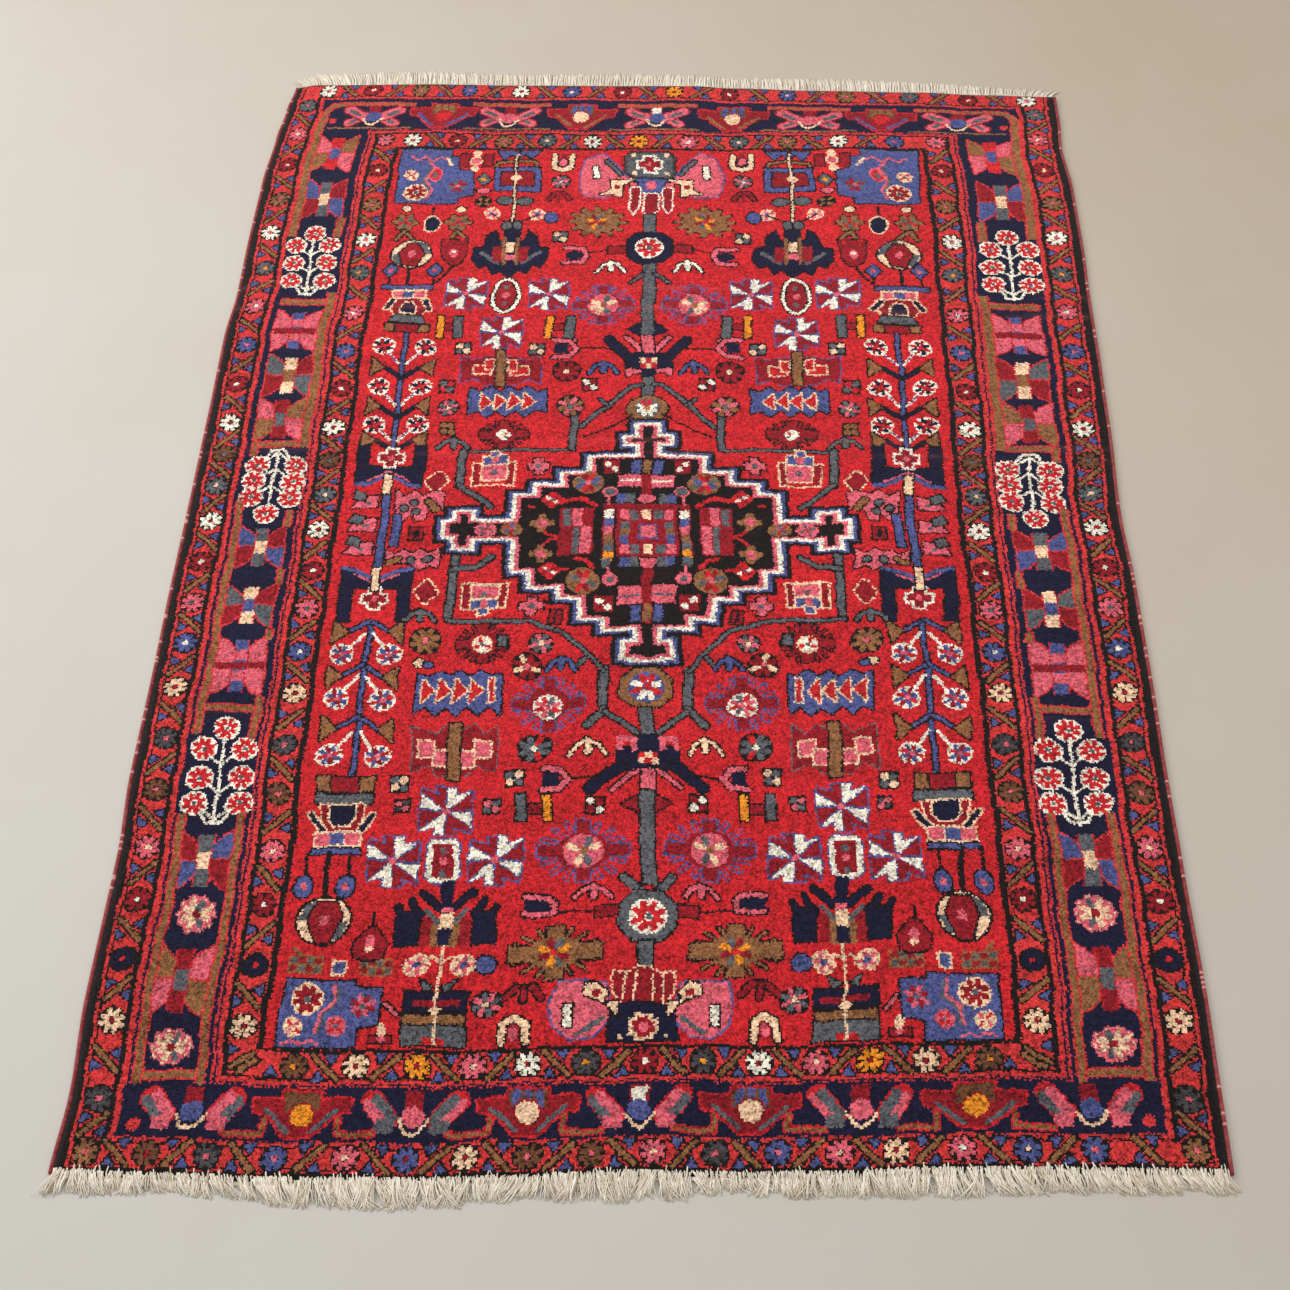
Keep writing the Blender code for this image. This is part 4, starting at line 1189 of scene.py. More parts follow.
def draw_lower_corner(art):
    """The lower blue corner piece, with the checkered camel flowers above it."""
    art.line("P", [(33.6, -83.4), (32.2, -84.9)], 0.5, "K")
    art.box("r", 32.6, 35.4, -88.9, -88.0, "K")
    art.oval("E", 33.9, -87.1, 0.6, 1.0)
    art.oval("P", 33.9, -88.4, 0.5, 0.5)
    corner = [(47.2, -80.2), (38, -80.1), (38, -80.9), (34.4, -81), (34.3, -86.3), (37.2, -86.6),
              (37.2, -89.4), (47.4, -89.4)]
    art.shape("B", corner, "K")
    art.rosette(44.1, -82.7, 2.1, "r", "G", "E", 8)
    art.rosette(45.3, -86.6, 1.3, "RP", "E", "E", 4)
    art.rosette(36.5, -83.5, 1.8, "rP", "G", "B", 8)
    art.line("P", [(40.6, -80.8), (40.2, -82.8), (42.2, -84.6), (42.4, -87.4)], 0.5)
    art.line("G", [(40.1, -81.2), (39.8, -83), (41.8, -84.8), (42, -87.2)], 0.4)
    art.rosette(39.9, -86.4, 1.3, "R", "G", "P", 4)
    art.line("P", [(46.6, -89.0), (45.4, -88.4), (44.2, -89.0), (43, -88.4), (41.8, -89.0)], 0.4)
    for place in (45.0, 35.4):
        art.box("M", place - 2.3, place + 2.3, -79.3, -76.7)
        for column in range(4):
            for row in range(2):
                dark = (column + row) % 2
                colour = "r" if dark else "G"
                art.oval(colour, place - 1.6 + column * 1.07, -78.6 + row * 1.2, 0.52 if dark else 0.42)
    art.line("M", [(46.8, -75.6), (45.6, -76.8)], 0.6)
    art.box("B", 39.8, 41.2, -79, -77.3, "E")


def draw_lower_fruits(art):
    """The round fruits that hang from the lower vase."""
    art.line("K", [(44.2, -61), (43.6, -68.6)], 0.8)
    art.oval("K", 43.4, -71.5, 3.9)
    art.oval("E", 43.4, -71.5, 3.5)
    art.shape("G", [(43.4, -71.5), (46.9, -71.5), (45.9, -69), (44.2, -68.2)])
    art.shape("G", [(43.4, -71.5), (39.9, -71.5), (40.7, -73.9), (42.6, -74.8)])
    art.shape("r", half_points([(1.2, -68.6), (2.2, -71), (1.0, -74.8)], 43.2), "K")
    art.box("P", 42.6, 43.8, -72.1, -70.7)
    art.line("K", [(36.6, -70), (36.6, -72)], 0.5)
    art.shape("r", half_points([(0.5, -72.2), (2.2, -74.6), (2.0, -76.6), (0.8, -77)], 36.6), "K")
    art.oval("P", 36.6, -74.4, 0.6, 1.1)
    art.oval("E", 36.6, -75.4, 0.6, 0.4)
    for place in (46.9, 41.1):
        art.line("K", [(place, -61), (place, -64.6)], 0.5)
        art.oval("B", place, -66.3, 1.2, 1.7, "K")
        art.oval("P", place, -66.3, 0.5, 0.6)


PINWHEELS = (
    (32.3, 49.7, 3.3), (17.6, 49.5, 3.3), (25.0, 40.1, 3.3), (28.0, -54.1, 3.4), (20.7, -62.2, 3.4),
    (34.9, -62.2, 3.4),
)


def draw_pinwheels(art):
    """The pinwheels turn the same way on both sides, so they are drawn unmirrored."""
    for across, along, size in PINWHEELS:
        for side in (-1, 1):
            art.pinwheel(side * across, along, size)


def knot_chart():
    """Palette numbers of all knots."""
    across, along = drifted_grids()
    knots = np.full(across.shape, LETTERS.index("K"), np.int16)
    mirrored = Chart(np.abs(across), along, knots)
    whole = Chart(across, along, knots)
    for half, low, high, colour in FRAMES:
        mirrored.box(colour, -1, half, low, high)
    flower_row(mirrored, OUTER_SIDE, 69.85, True, 1.85)
    flower_row(mirrored, INNER_SIDE, 51.9, True, 1.8, -1)
    draw_main_sides(mirrored)
    draw_ends(whole)
    for draw in (
        draw_upper_corner, draw_upper_stand, draw_upper_tower, draw_upper_vase, draw_upper_fillers,
        draw_upper_column, draw_upper_flowers, draw_upper_knot, draw_upper_bracket, draw_upper_leaf,
        draw_side_tree, draw_side_middle, draw_lower_vase, draw_sides,
        draw_lower_column, draw_lower_flowers, draw_lower_leaf, draw_lower_end, draw_lower_tower,
        draw_lower_corner, draw_lower_fruits, draw_medallion,
    ):
        draw(mirrored)
    draw_pinwheels(whole)
    return knots


# Wool: darkest and palest knot, stretch of the dye bands and of worn fibres, and the shader's own values
KNOT_TONES = (0.86, 1.24)
DYE_BANDS = (0.6, 26.0, 1.0)
WORN_FIBRES = (60.0, 700.0, 1.0)
WOOL_SHADER = {"Roughness": 0.92, "Specular IOR Level": 0.14, "Sheen Weight": 0.08, "Sheen Roughness": 0.5}
YARN_SHADER = {"Roughness": 0.9, "Specular IOR Level": 0.25, "Sheen Weight": 0.15}


class Nodes:
    """Short spelling for building a material's nodes."""

    def __init__(self, name):
        self.material = bpy.data.materials.new(name)
        self.material.use_nodes = True
        self.tree = self.material.node_tree
        self.shader = self.tree.nodes["Principled BSDF"]

    def add(self, kind, inputs=(), **settings):
        node = self.tree.nodes.new(kind)
        for key, value in settings.items():
            setattr(node, key, value)
        for key, value in dict(inputs).items():
            self.feed(node.inputs[key], value)
        return node

    def feed(self, socket, value):
        if isinstance(value, bpy.types.NodeSocket):
            self.tree.links.new(value, socket)
        else:
            socket.default_value = value

    def math(self, operation, *values):
        return self.add("ShaderNodeMath", enumerate(values), operation=operation).outputs[0]

    def vector(self, operation, *values, output=0):
        return self.add("ShaderNodeVectorMath", enumerate(values), operation=operation).outputs[output]

    def remap(self, value, low, high, new_low, new_high):
        node = self.add("ShaderNodeMapRange", {"Value": value, "From Min": low, "From Max": high,
                                               "To Min": new_low, "To Max": new_high})
        return node.outputs["Result"]

    def noise(self, scale, detail=2.0, vector=None, roughness=0.5):
        inputs = {"Scale": scale, "Detail": detail, "Roughness": roughness}
        if vector is not None:
            inputs["Vector"] = vector
        return self.add("ShaderNodeTexNoise", inputs).outputs["Fac"]

    def place(self):
        return self.add("ShaderNodeTexCoord").outputs["Object"]

    def scaled(self, value, factor):
        node = self.vector("SCALE", value).node
        self.feed(node.inputs["Scale"], factor)
        return node.outputs[0]

    def mix(self, factor, first, second):
        node = self.add("ShaderNodeMix", {"Factor": factor}, data_type="RGBA")
        self.feed(node.inputs["A"], first)
        self.feed(node.inputs["B"], second)
        return node.outputs["Result"]

    def two_shades(self, value, low, low_colour, high, high_colour):
        ramp = self.add("ShaderNodeValToRGB", {"Fac": value})
        first, last = ramp.color_ramp.elements
        first.color = opaque(low_colour)
        first.position = low
        last.color = opaque(high_colour)
        last.position = high
        return ramp.outputs["Color"]

    def settle(self, colour, values):
        """The base colour, and constants on the shader's own sockets."""
        self.feed(self.shader.inputs["Base Color"], colour)
        for name, value in values.items():
            self.shader.inputs[name].default_value = value

    def bump(self, height, strength, distance):
        node = self.add("ShaderNodeBump", {"Strength": strength, "Distance": distance, "Height": height})
        self.feed(self.shader.inputs["Normal"], node.outputs[0])


def palette_ramp(wool, number):
    """The colour of a palette number, from a ramp with one step for each letter."""
    ramp = wool.add("ShaderNodeValToRGB")
    ramp.color_ramp.interpolation = "CONSTANT"
    stops = ramp.color_ramp.elements
    while len(stops) < len(LETTERS):
        stops.new(1.0)
    for index, letter in enumerate(LETTERS):
        stops[index].position = index / RAMP_STEPS
        stops[index].color = opaque(PALETTE[letter])
    wool.feed(ramp.inputs["Fac"], wool.math("DIVIDE", wool.math("ADD", number, 0.5), float(RAMP_STEPS)))
    return ramp.outputs["Color"]


def stored_number(wool, chart):
    """The palette number of the knot at a place of the chart, out of the nine that its quad stores."""
    cell = wool.vector("FLOOR", wool.scaled(wool.vector("FRACTION", chart), KNOTS_IN_QUAD))
    parts = wool.add("ShaderNodeSeparateXYZ", {0: cell})

    def pick(position):
        flags = [wool.math("COMPARE", position, float(number), 0.25) for number in range(KNOTS_IN_QUAD)]
        return wool.add("ShaderNodeCombineXYZ", enumerate(flags)).outputs[0]

    column = pick(parts.outputs["X"])
    row = pick(parts.outputs["Y"])
    values = []
    for number in range(KNOTS_IN_QUAD):
        stored = wool.add("ShaderNodeAttribute", attribute_name=f"knot_row_{number}").outputs["Vector"]
        values.append(wool.vector("DOT_PRODUCT", stored, column, output="Value"))
    triple = wool.add("ShaderNodeCombineXYZ", enumerate(values)).outputs[0]
    return wool.vector("DOT_PRODUCT", triple, row, output="Value")


def wool_material():
    """Knotted wool: the palette colour of each knot, uneven dye, pile grain and sheen, with painted light and
    shade that darkens the near end and lightens the far end.
    """
    wool = Nodes("knotted_wool")
    place = wool.place()
    chart = wool.add("ShaderNodeUVMap", uv_map="knots").outputs["UV"]
    palette_colour = palette_ramp(wool, stored_number(wool, chart))

    knot = wool.vector("FLOOR", wool.scaled(chart, KNOTS_IN_QUAD))
    single = wool.add("ShaderNodeTexWhiteNoise", {"Vector": knot}, noise_dimensions="2D").outputs["Value"]
    dye_place = wool.add("ShaderNodeMapping", {"Vector": place, "Scale": DYE_BANDS}).outputs[0]
    grain = wool.noise(300.0, 3.0, place, 0.75)
    painted_light_along = wool.add("ShaderNodeSeparateXYZ", {0: place}).outputs["Y"]
    tone = wool.remap(single, 0, 1, *KNOT_TONES)
    for value, low, high, dark, pale in (
        (wool.noise(1.0, 3.0, dye_place), 0.3, 0.7, -0.13, 0.13),
        (wool.noise(5.0, 2.0, place), 0.3, 0.7, -0.07, 0.07),
        (grain, 0.35, 0.65, -0.36, 0.36),
        (wool.noise(150.0, 2.0, place, 0.6), 0.35, 0.65, -0.28, 0.28),
        # painted light and shade: the tone is darker towards the near end and lighter towards the far end
        (painted_light_along, -1.1, 1.1, -0.13, 0.07),
    ):
        tone = wool.math("ADD", tone, wool.remap(value, low, high, dark, pale))
    shaded = wool.scaled(palette_colour, tone)
    worn = wool.add("ShaderNodeAttribute", attribute_name="worn").outputs["Fac"]
    fibre_place = wool.add("ShaderNodeMapping", {"Vector": place, "Scale": WORN_FIBRES}).outputs[0]
    worn = wool.math("MULTIPLY", worn, wool.remap(wool.noise(1.0, 2.0, fibre_place), 0.35, 0.65, 0.0, 1.0))
    wool.settle(wool.mix(worn, shaded, opaque(WORN_COLOUR)), WOOL_SHADER)
    tuft = wool.add("ShaderNodeTexVoronoi", {"Vector": place, "Scale": 520.0}).outputs["Distance"]
    wool.bump(wool.math("ADD", grain, wool.math("MULTIPLY", tuft, 0.5)), 0.9, 0.0022)
    return wool.material


def back_material():
    """The woven underside: ivory warps that cross dark weft rows, faintly red all over."""
    back = Nodes("woven_back")
    place = back.place()
    rows = back.add("ShaderNodeTexWave", {"Vector": place, "Scale": 95.0, "Distortion": 1.2, "Detail": 1.0},
                    bands_direction="Y").outputs["Fac"]
    columns = back.add("ShaderNodeTexWave", {"Vector": place, "Scale": 95.0, "Distortion": 0.8},
                       bands_direction="X").outputs["Fac"]
    weave = back.math("MULTIPLY", rows, columns)
    blend = back.math("ADD", back.math("MULTIPLY", weave, 0.6),
                      back.math("MULTIPLY", back.noise(9.0, 3.0, place), 0.5))
    back.settle(back.two_shades(blend, 0.25, (92, 24, 30), 0.8, (176, 108, 92)), {"Roughness": 0.95})
    back.bump(weave, 0.5, 0.0008)
    return back.material


def yarn_material(name, dark, pale, scale):
    """Yarn whose colour runs between two shades from its stored tone and a fibre grain."""
    yarn = Nodes(name)
    tone = yarn.add("ShaderNodeAttribute", attribute_name="tone").outputs["Fac"]
    grain = yarn.noise(scale, 3.0, yarn.place(), 0.7)
    shade = yarn.math("ADD", tone, yarn.remap(grain, 0.3, 0.7, -0.22, 0.22))
    yarn.settle(yarn.mix(shade, opaque(dark), opaque(pale)), YARN_SHADER)
    yarn.bump(grain, 0.4, 0.0006)
    return yarn.material


EDGE_STEPS = 400


def plan_offset():
    """From the plan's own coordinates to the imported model's."""
    across = np.linspace(-BODY_WIDTH / 2, BODY_WIDTH / 2, EDGE_STEPS)
    along = np.linspace(-BODY_LENGTH / 2, BODY_LENGTH / 2, EDGE_STEPS)
    edges = []
    for side in (-1, 1):
        edges.append(on_plan(np.full(EDGE_STEPS, side * BODY_WIDTH / 2), along))
        edges.append(on_plan(across, np.full(EDGE_STEPS, side * BODY_LENGTH / 2)))
    x = np.concatenate([edge[0] for edge in edges])
    y = np.concatenate([edge[1] for edge in edges])
    low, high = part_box("rug_body")
    return (low.x + high.x - x.min() - x.max()) / 2, (low.y + high.y - y.min() - y.max()) / 2


OFFSET_X, OFFSET_Y = plan_offset()


def in_world(across, along):
    x, y = on_plan(across, along)
    return x + OFFSET_X, y + OFFSET_Y


def edge_height(inset):
    """Height of the rounded edge of the pile, from the distance inside it."""
    fall = 1 - np.clip(inset, 0, PILE_EDGE_ROUND) / PILE_EDGE_ROUND
    return PILE_EDGE_HEIGHT + (PILE_HEIGHT - PILE_EDGE_HEIGHT) * np.sqrt(1 - fall * fall)


def pile_height(across, along):
    """Height of the pile, rounded down at the edges, with slow swells and a fine relief."""
    inset = np.minimum(BODY_WIDTH / 2 - np.abs(across), BODY_LENGTH / 2 - np.abs(along))
    swell = sum(weight * np.sin(lengthwise * along + crosswise * across + phase)
                for lengthwise, crosswise, phase, weight in PILE_SWELLS)
    chance = np.random.default_rng(5)
    relief = chance.uniform(-PILE_RELIEF, PILE_RELIEF, across.shape)
    flat_share = np.clip(inset, 0, PILE_EDGE_ROUND) / PILE_EDGE_ROUND
    return edge_height(inset) + (PILE_UNEVENNESS * swell + relief) * flat_share


def add_object(name, data):
    thing = bpy.data.objects.new(name, data)
    bpy.context.scene.collection.objects.link(thing)
    return thing


def link(name, mesh, node, smooth_faces=None):
    """A finished piece that stands for a CAD node. Its first faces are smooth, or all of them."""
    smooth = np.ones(len(mesh.polygons), bool)
    if smooth_faces is not None:
        smooth[smooth_faces:] = False
    mesh.polygons.foreach_set("use_smooth", smooth)
    piece = add_object(name, mesh)
    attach(piece, "root")
    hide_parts(node)
    return piece


def build_mesh(name, points, faces):
    mesh = bpy.data.meshes.new(name)
    mesh.from_pydata([tuple(point) for point in points], [], faces)
    mesh.update()
    return mesh


def pile_faces(wide, tall):
    """Faces of the upper grid, and the points of its rim in order."""
    row_points = wide + 1
    faces = []
    for row in range(tall):
        for column in range(wide):
            start = row * row_points + column
            faces.append((start, start + 1, start + row_points + 1, start + row_points))
    rim = list(range(wide))
    rim += [row * row_points + wide for row in range(tall)]
    rim += [tall * row_points + column for column in range(wide, 0, -1)]
    rim += [row * row_points for row in range(tall, 0, -1)]
    return faces, rim


def worn_share(across, along):
    """How far the wool is worn down to pale fibres, along a few rows."""
    worn = np.zeros(len(across), np.float32)
    for place, strength in WORN_ROWS:
        reach = np.abs(along - place - 0.4 * np.sin(across * 0.08))
        patchy = 0.5 + 0.5 * np.sin(across * 0.17 + place)
        worn += WORN_STRENGTH * strength * np.exp(-(reach / WORN_WIDTH) ** 2) * patchy
    return worn


# Bake map: where the upper side, the skirt and the back lie in it
BAKE_MARGIN = 0.005
BAKE_UPPER = (0.64, 0.99)
BAKE_SKIRT = (0.67, 0.01)
BAKE_BACK_SIZE = (0.28, 0.9)
BAKE_BACK_CORNER = (0.70, 0.05)


def bake_places(chart_points, points, loops, upper_loops, rim_count):
    """Places of all face corners in the bake map."""
    places = np.zeros((len(loops), 2))
    upper = chart_points[loops[:upper_loops]] / (QUADS_ACROSS, QUADS_ALONG)
    places[:upper_loops] = upper * BAKE_UPPER + BAKE_MARGIN
    skirt = np.arange(rim_count)
    left, wide = BAKE_SKIRT
    skirt_stop = upper_loops + 4 * rim_count
    places[upper_loops:skirt_stop, 0] = np.tile(left + np.array([0.0, wide, wide, 0.0]), rim_count)
    heights = np.stack([skirt, skirt, skirt + 1, skirt + 1], axis=-1) / rim_count * 0.98 + 0.01
    places[upper_loops:skirt_stop, 1] = heights.reshape(-1)
    flat = np.array([points[index][:2] for index in loops[skirt_stop:]])
    low = flat.min(axis=0)
    places[skirt_stop:] = (flat - low) / (flat.max(axis=0) - low) * BAKE_BACK_SIZE + BAKE_BACK_CORNER
    return places


def make_pile():
    """The knotted slab: a fine upper grid with the chart, a skirt, and a flat woven back."""
    knots = knot_chart()
    across = np.linspace(-BODY_WIDTH / 2, BODY_WIDTH / 2, QUADS_ACROSS + 1)
    along = np.linspace(-BODY_LENGTH / 2, BODY_LENGTH / 2, QUADS_ALONG + 1)
    grid_x, grid_y = np.meshgrid(across, along)
    world_x, world_y = in_world(grid_x, grid_y)
    height = pile_height(grid_x, grid_y)
    points = list(np.stack([world_x, world_y, height], axis=-1).reshape(-1, 3))
    upper_points = len(points)
    faces, rim = pile_faces(QUADS_ACROSS, QUADS_ALONG)
    upper_count = len(faces)
    count = len(rim)
    points += [(points[index][0], points[index][1], 0.0) for index in rim]
    for step in range(count):
        after = (step + 1) % count
        faces.append((rim[step], upper_points + step, upper_points + after, rim[after]))
    faces.append(tuple(upper_points + step for step in reversed(range(count))))
    mesh = build_mesh("knotted_pile", points, faces)
    mesh.materials.append(wool_material())
    mesh.materials.append(back_material())
    mesh.polygons[len(faces) - 1].material_index = 1

    for number in range(KNOTS_IN_QUAD):
        stored = np.full((len(faces), 3), LETTERS.index("K"), np.float32)
        for column in range(KNOTS_IN_QUAD):
            stored[:upper_count, column] = knots[number::KNOTS_IN_QUAD, column::KNOTS_IN_QUAD].reshape(-1)
        data = mesh.attributes.new(f"knot_row_{number}", "FLOAT_VECTOR", "FACE").data
        data.foreach_set("vector", stored.reshape(-1))
    rim_zeros = np.zeros(count)
    worn = worn_share(np.append(grid_x.reshape(-1) * 100, rim_zeros),
                      np.append(grid_y.reshape(-1) * 100, rim_zeros))
    mesh.attributes.new("worn", "FLOAT", "POINT").data.foreach_set("value", worn)

    loops = np.zeros(len(mesh.loops), np.int64)
    mesh.loops.foreach_get("vertex_index", loops)
    chart_points = np.zeros((len(points), 2))
    columns, rows = np.meshgrid(np.arange(QUADS_ACROSS + 1), np.arange(QUADS_ALONG + 1))
    chart_points[:upper_points] = np.stack([columns.reshape(-1), rows.reshape(-1)], axis=-1)
    baked = bake_places(chart_points, points, loops, upper_count * 4, count)
    for name, places in (("knots", chart_points[loops]), ("OFBake", baked)):
        layer = mesh.uv_layers.new(name=name)
        layer.data.foreach_set("uv", places.astype(np.float32).reshape(-1))
    return link("knotted_pile", mesh, "rug_body", upper_count)


# Wrapped side cords
WRAP_PITCH = 0.0036
WRAP_STEPS = 3
WRAP_RIDGE = 0.00032
CORD_POINTS = 7
CORD_INSET = 0.0004
CORD_DROP = 0.0003
CORD_FLANK = 0.35
PALE_WRAP_SHARE = 0.06
PALE_WRAP_TONE = 0.8
CORD_YARN = ((138, 20, 32), (232, 168, 160), 900.0)


def tube_faces(rings, ring):
    """Faces between rings of points, without the two ends."""
    faces = []
    for step in range(rings - 1):
        first = step * ring
        for corner in range(ring):
            after = (corner + 1) % ring
            faces.append((first + corner, first + after, first + ring + after, first + ring + corner))
    return faces


def add_yarn(mesh, name, tones, yarn):
    mesh.attributes.new("tone", "FLOAT", "POINT").data.foreach_set("value", tones)
    mesh.materials.append(yarn_material(name, *yarn))


def make_selvedge(name, node, side):
    """A side cord with its wool wraps as fine ridges, some of them worn pale."""
    steps = round(BODY_LENGTH / WRAP_PITCH) * WRAP_STEPS
    along = np.linspace(-BODY_LENGTH / 2, BODY_LENGTH / 2, steps + 1)
    x, y = in_world(np.full(steps + 1, side * BODY_WIDTH / 2), along)
    x = x + side * (SELVEDGE_GAP + SELVEDGE_WIDTH / 2)
    chance = np.random.default_rng(31 + side)
    wraps = chance.random(steps // WRAP_STEPS + 1)
    points = []
    tones = []
    ring = CORD_POINTS + 2
    for step in range(steps + 1):
        wrap = wraps[step // WRAP_STEPS]
        ridge = WRAP_RIDGE if step % WRAP_STEPS else -WRAP_RIDGE
        ridge += (wrap - 0.5) * WRAP_RIDGE
        reach = SELVEDGE_WIDTH / 2 - CORD_INSET + ridge
        for corner in range(CORD_POINTS):
            angle = math.pi * corner / (CORD_POINTS - 1)
            rise = SELVEDGE_HEIGHT * (CORD_FLANK + (1 - CORD_FLANK) * math.sin(angle)) + ridge - CORD_DROP
            points.append((x[step] - math.cos(angle) * reach, y[step], rise))
        points.append((x[step] + reach, y[step], 0.0))
        points.append((x[step] - reach, y[step], 0.0))
        tones += [PALE_WRAP_TONE if wrap < PALE_WRAP_SHARE else 0.02 + 0.16 * wrap] * ring
    faces = [tuple(reversed(range(ring)))]
    faces += tube_faces(steps + 1, ring)
    faces.append(tuple(steps * ring + corner for corner in range(ring)))
    mesh = build_mesh(name, points, faces)
    add_yarn(mesh, name, tones, CORD_YARN)
    return link(name, mesh, node)


# Warp fringes: strand rings as shares of the length, the strip's tone, and the yarn's colours and grain
STRAND_CORNERS = 4
STRAND_SHARES = (0.0, 0.22, 0.45, 0.68, 0.86, 1.0)
STRAND_TAPER = 0.42
STRAND_TONE = 0.60
STRAND_TONE_SPREAD = 0.28
STRIP_TONE = 0.45
STRIP_STEPS = 420
FRINGE_INSET = 0.001
WISP_CLEARANCE = 0.0002
FRINGE_YARN = ((198, 178, 148), (255, 248, 232), 700.0)


def ribbon(across, end, inner, outer, low, high):
    """A woven strip along one end of the body, as points and faces."""
    x, y = in_world(across, np.full(len(across), end * BODY_LENGTH / 2))
    rings = []
    for reach, height in ((inner, low), (outer, low), (outer, high * 0.7), ((inner + outer) / 2, high),
                          (inner, high)):
        rings.append(np.stack([x, y + end * reach, np.full(len(x), height)], axis=-1))
    points = np.stack(rings, axis=1).reshape(-1, 3)
    ring = len(rings)
    faces = [tuple(range(ring)), tuple((len(across) - 1) * ring + corner for corner in reversed(range(ring)))]
    faces += [face[::-1] for face in tube_faces(len(across), ring)]
    return points, faces


def strand_faces(start, end):
    """Faces of one closed strand whose points begin at start, turned outward for its end of the rug."""
    rings = len(STRAND_SHARES)
    faces = []
    for corner in range(STRAND_CORNERS):
        after = (corner + 1) % STRAND_CORNERS
        for step in range(rings - 1):
            lower = start + corner * rings + step
            upper = start + after * rings + step
            faces.append((lower, upper, upper + 1, lower + 1))
    faces.append(tuple(start + corner * rings for corner in reversed(range(STRAND_CORNERS))))
    faces.append(tuple(start + corner * rings + rings - 1 for corner in range(STRAND_CORNERS)))
    return faces if end < 0 else [face[::-1] for face in faces]


def make_fringe(name, node, end, shape, settings):
    """A fringe of separate warp ends in small locks, rooted in the woven strip and lying on the floor."""
    chance = np.random.default_rng(settings["seed"])
    count = settings["strands"]
    half = BODY_WIDTH / 2
    lock = settings["lock"]
    places = np.sort(chance.uniform(-half + FRINGE_INSET, half - FRINGE_INSET, count))
    group = np.floor((places + half) / lock).astype(int)
    group_count = group.max() + 1
    group_lean = chance.normal(0, settings["lock_lean"], group_count)[group]
    group_length = chance.uniform(-settings["lock_length"], settings["lock_length"], group_count)[group]
    group_rise = chance.random(group_count)[group]
    length = read_table(shape, places, 1) * settings["reach"] + group_length
    length = length * chance.uniform(settings["shortest"], 1.0, count)
    lean = read_table(shape, places, 2) + group_lean + chance.normal(0, settings["lean"], count)
    radius = chance.uniform(*settings["radius"], count)
    layer = chance.random(count)
    rise = settings["rise"] * (0.3 + 0.7 * layer) * (0.5 + group_rise)
    curl = chance.normal(0, settings["curl"], count)
    tone = chance.normal(STRAND_TONE, STRAND_TONE_SPREAD, count)
    # painted shade: strands that lie lower in the fringe are darker, higher ones paler
    tone = np.clip(tone + (layer - 0.5) * 0.25, 0, 1)
    root_x, root_y = in_world(places, np.full(count, end * BODY_LENGTH / 2))
    root_back = chance.uniform(*settings["root"], count)
    root_back -= settings["wisp_reach"] * (chance.random(count) < settings["wisp_share"])
    pull = ((group + 0.5) * lock - half - places) * settings["gather"]

    shares = np.array(STRAND_SHARES)
    strip_points, faces = ribbon(np.linspace(-half, half, STRIP_STEPS), end, PIECE_GAP, STRIP_WIDTH, 0.0,
                                 STRIP_HEIGHT)
    points = [strip_points]
    tones = [np.full(len(strip_points), STRIP_TONE)]
    start = len(strip_points)
    strand_size = STRAND_CORNERS * len(shares)
    bend = np.sin(math.pi * shares)
    arch = np.sin(math.pi * np.clip(shares * 0.85 + 0.12, 0, 1))
    for number in range(count):
        outward = root_back[number] + (length[number] - root_back[number]) * shares
        slant = lean[number] * length[number] * shares ** 1.5
        x = root_x[number] + slant + pull[number] * bend + curl[number] * bend
        y = root_y[number] + end * outward
        thick = radius[number] * (1 - STRAND_TAPER * shares ** 3)
        z = np.maximum(STRIP_HEIGHT * 0.6 * (1 - shares) + rise[number] * arch, thick)
        z = np.where(outward < 0, edge_height(-outward) + WISP_CLEARANCE, z)
        for corner in range(STRAND_CORNERS):
            angle = 2 * math.pi * (corner + 0.5) / STRAND_CORNERS
            points.append(np.stack([x + np.cos(angle) * thick, y, z + np.sin(angle) * thick], axis=-1))
        faces += strand_faces(start, end)
        tones.append(np.full(strand_size, tone[number]))
        start += strand_size
    mesh = build_mesh(name, np.concatenate(points), faces)
    add_yarn(mesh, name, np.concatenate(tones).astype(np.float32), FRINGE_YARN)
    return link(name, mesh, node)


NEAR_SETTINGS = {
    "strands": 3300, "seed": 7,
    "lock": 0.011, "lock_lean": 0.38, "lock_length": 0.0042, "reach": 1.05, "shortest": 0.74, "lean": 0.24,
    "gather": 0.40, "radius": (0.00068, 0.00120), "rise": 0.0060, "curl": 0.0016, "root": (-0.0060, 0.0020),
    "wisp_share": 0.045, "wisp_reach": 0.0060,
}
FAR_SETTINGS = {
    "strands": 2900, "seed": 9,
    "lock": 0.0054, "lock_lean": 0.05, "lock_length": 0.0024, "reach": 1.13, "shortest": 0.86, "lean": 0.05,
    "gather": 0.60, "radius": (0.00060, 0.00100), "rise": 0.0030, "curl": 0.0006, "root": (0.0004, 0.0030),
    "wisp_share": 0.0, "wisp_reach": 0.0,
}


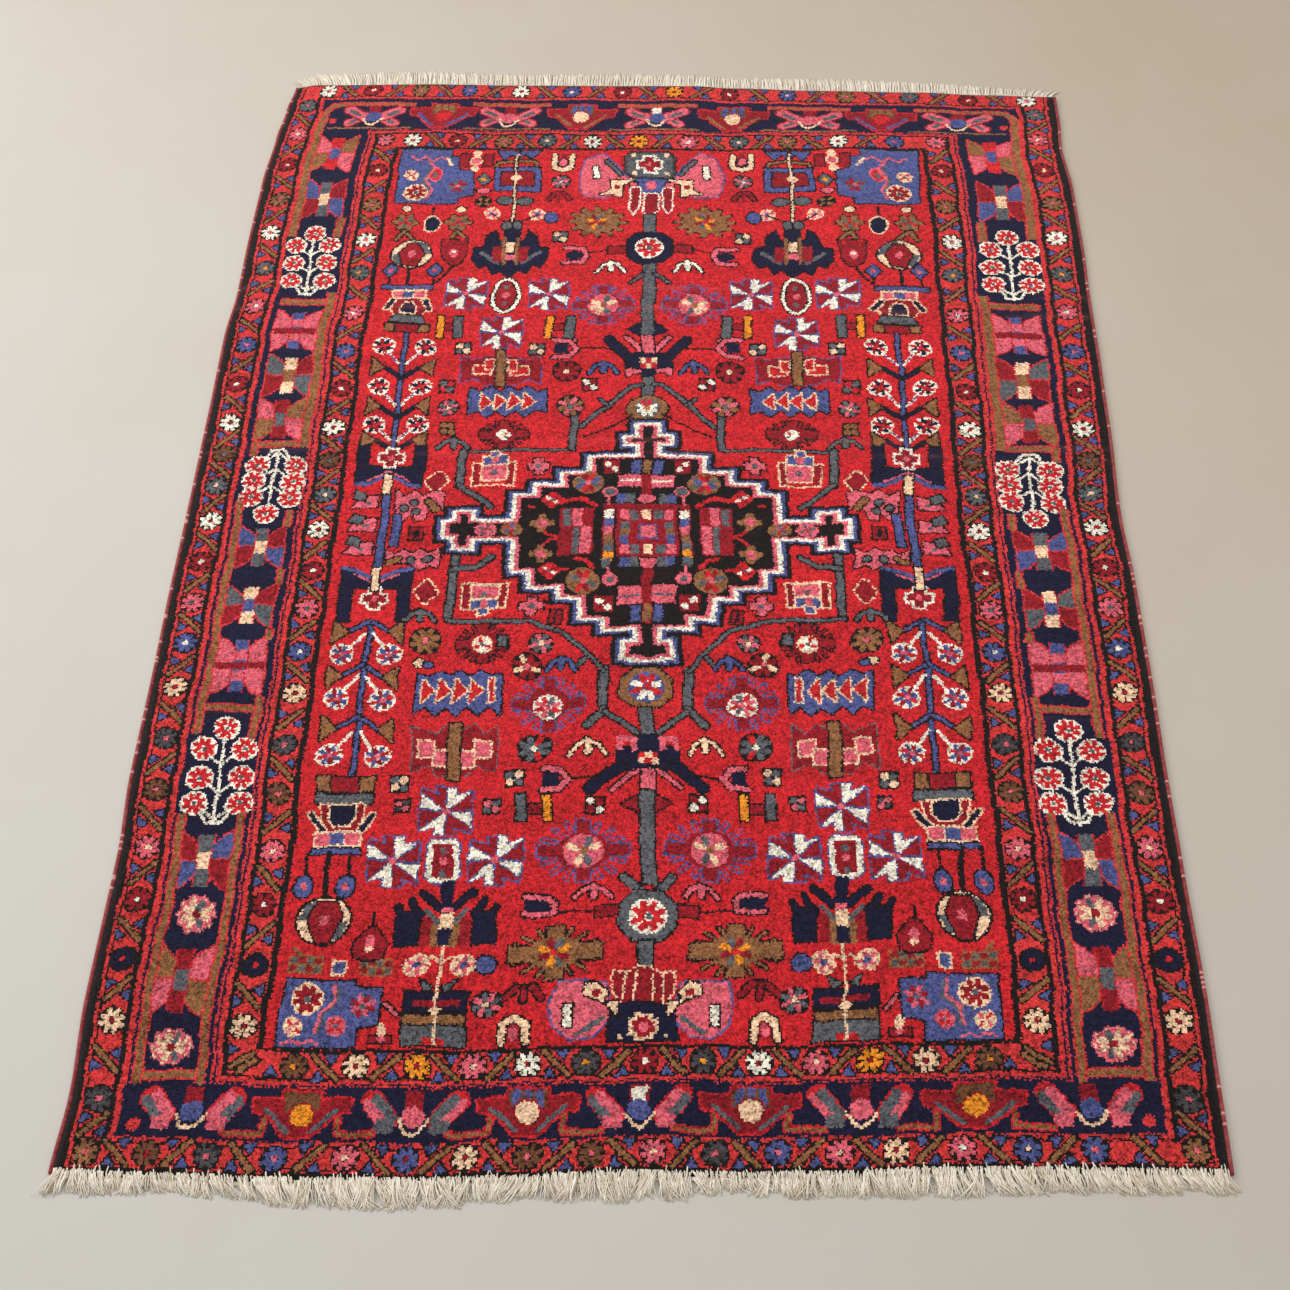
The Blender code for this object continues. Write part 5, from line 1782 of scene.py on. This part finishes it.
def make_camera():
    """The camera at the photograph's place, turned by its yaw, pitch and roll."""
    yaw, pitch, roll = CAMERA_YAW, CAMERA_PITCH, CAMERA_ROLL
    forward = Vector((math.sin(yaw) * math.cos(pitch), math.cos(yaw) * math.cos(pitch), -math.sin(pitch)))
    right = Vector((math.cos(yaw), -math.sin(yaw), 0.0))
    up = right.cross(forward)
    turned_right = right * math.cos(roll) + up * math.sin(roll)
    turned_up = up * math.cos(roll) - right * math.sin(roll)
    data = bpy.data.cameras.new("camera")
    data.lens = CAMERA_LENS
    data.sensor_width = CAMERA_SENSOR
    data.sensor_fit = "HORIZONTAL"
    data.clip_end = 50
    camera = add_object("camera", data)
    turned = Matrix((turned_right, turned_up, -forward)).transposed()
    place = Vector((CAMERA_PLACE[0] + OFFSET_X, CAMERA_PLACE[1] + OFFSET_Y, CAMERA_PLACE[2]))
    camera.matrix_world = Matrix.Translation(place) @ turned.to_4x4()
    bpy.context.scene.camera = camera


FLOOR_HALF = 6.0


def make_floor():
    """A plain pale floor with a faint uneven tone, and painted shade that makes it darker and warmer towards
    the far right.
    """
    corners = [(-FLOOR_HALF, -FLOOR_HALF, 0), (FLOOR_HALF, -FLOOR_HALF, 0), (FLOOR_HALF, FLOOR_HALF, 0),
               (-FLOOR_HALF, FLOOR_HALF, 0)]
    mesh = build_mesh("floor", corners, [(0, 1, 2, 3)])
    floor = Nodes("pale_floor")
    place = floor.place()
    parts = floor.add("ShaderNodeSeparateXYZ", {0: place})
    # painted shade: the floor colour darkens and warms towards the far right
    slant = floor.math("ADD", parts.outputs["X"], floor.math("MULTIPLY", parts.outputs["Y"], 0.7))
    mottle = floor.math("MULTIPLY", floor.noise(3.0, 6.0, place, 0.6), 0.3)
    blend = floor.math("ADD", floor.remap(slant, -1.4, 1.8, 0.70, 0.0), mottle)
    floor.settle(floor.two_shades(blend, 0.1, (186, 170, 148), 0.85, (201, 198, 190)), {"Roughness": 0.8})
    mesh.materials.append(floor.material)
    piece = add_object("floor", mesh)


# Lights: name, place, target, sizes, energy, colour
LIGHTS = (
    ("window", (-3.2, 1.2, 2.9), (0.0, 0.1, 0.0), (3.2, 2.6), 104.0, (1.0, 0.99, 0.97)),
    ("overhead", (0.4, 0.4, 3.4), (0.0, 0.2, 0.0), (3.0, 3.0), 42.0, (1.0, 0.98, 0.95)),
)
SKY_COLOUR = (0.98, 0.98, 1.0, 1.0)
SKY_STRENGTH = 0.55


def make_studio():
    """Soft daylight, stronger from the far left."""
    world = bpy.data.worlds.new("studio")
    world.use_nodes = True
    background = world.node_tree.nodes["Background"]
    background.inputs["Color"].default_value = SKY_COLOUR
    background.inputs["Strength"].default_value = SKY_STRENGTH
    bpy.context.scene.world = world
    for name, place, target, sizes, energy, colour in LIGHTS:
        data = bpy.data.lights.new(name, "AREA")
        data.shape = "RECTANGLE"
        data.size, data.size_y = sizes
        data.energy = energy
        data.color = colour
        light = add_object(name, data)
        light.location = place
        light.rotation_mode = "QUATERNION"
        light.rotation_quaternion = (Vector(target) - Vector(place)).to_track_quat("-Z", "Y")


make_camera()
make_floor()
pile_piece = make_pile()
left_cord = make_selvedge("wrapped_cord_left", "selvedge_left", -1)
right_cord = make_selvedge("wrapped_cord_right", "selvedge_right", 1)
near_fringe = make_fringe("warp_fringe_near", "fringe_near", -1, NEAR_FRINGE, NEAR_SETTINGS)
far_fringe = make_fringe("warp_fringe_far", "fringe_far", 1, FAR_FRINGE, FAR_SETTINGS)
make_studio()
bpy.context.scene.view_settings.view_transform = "Standard"
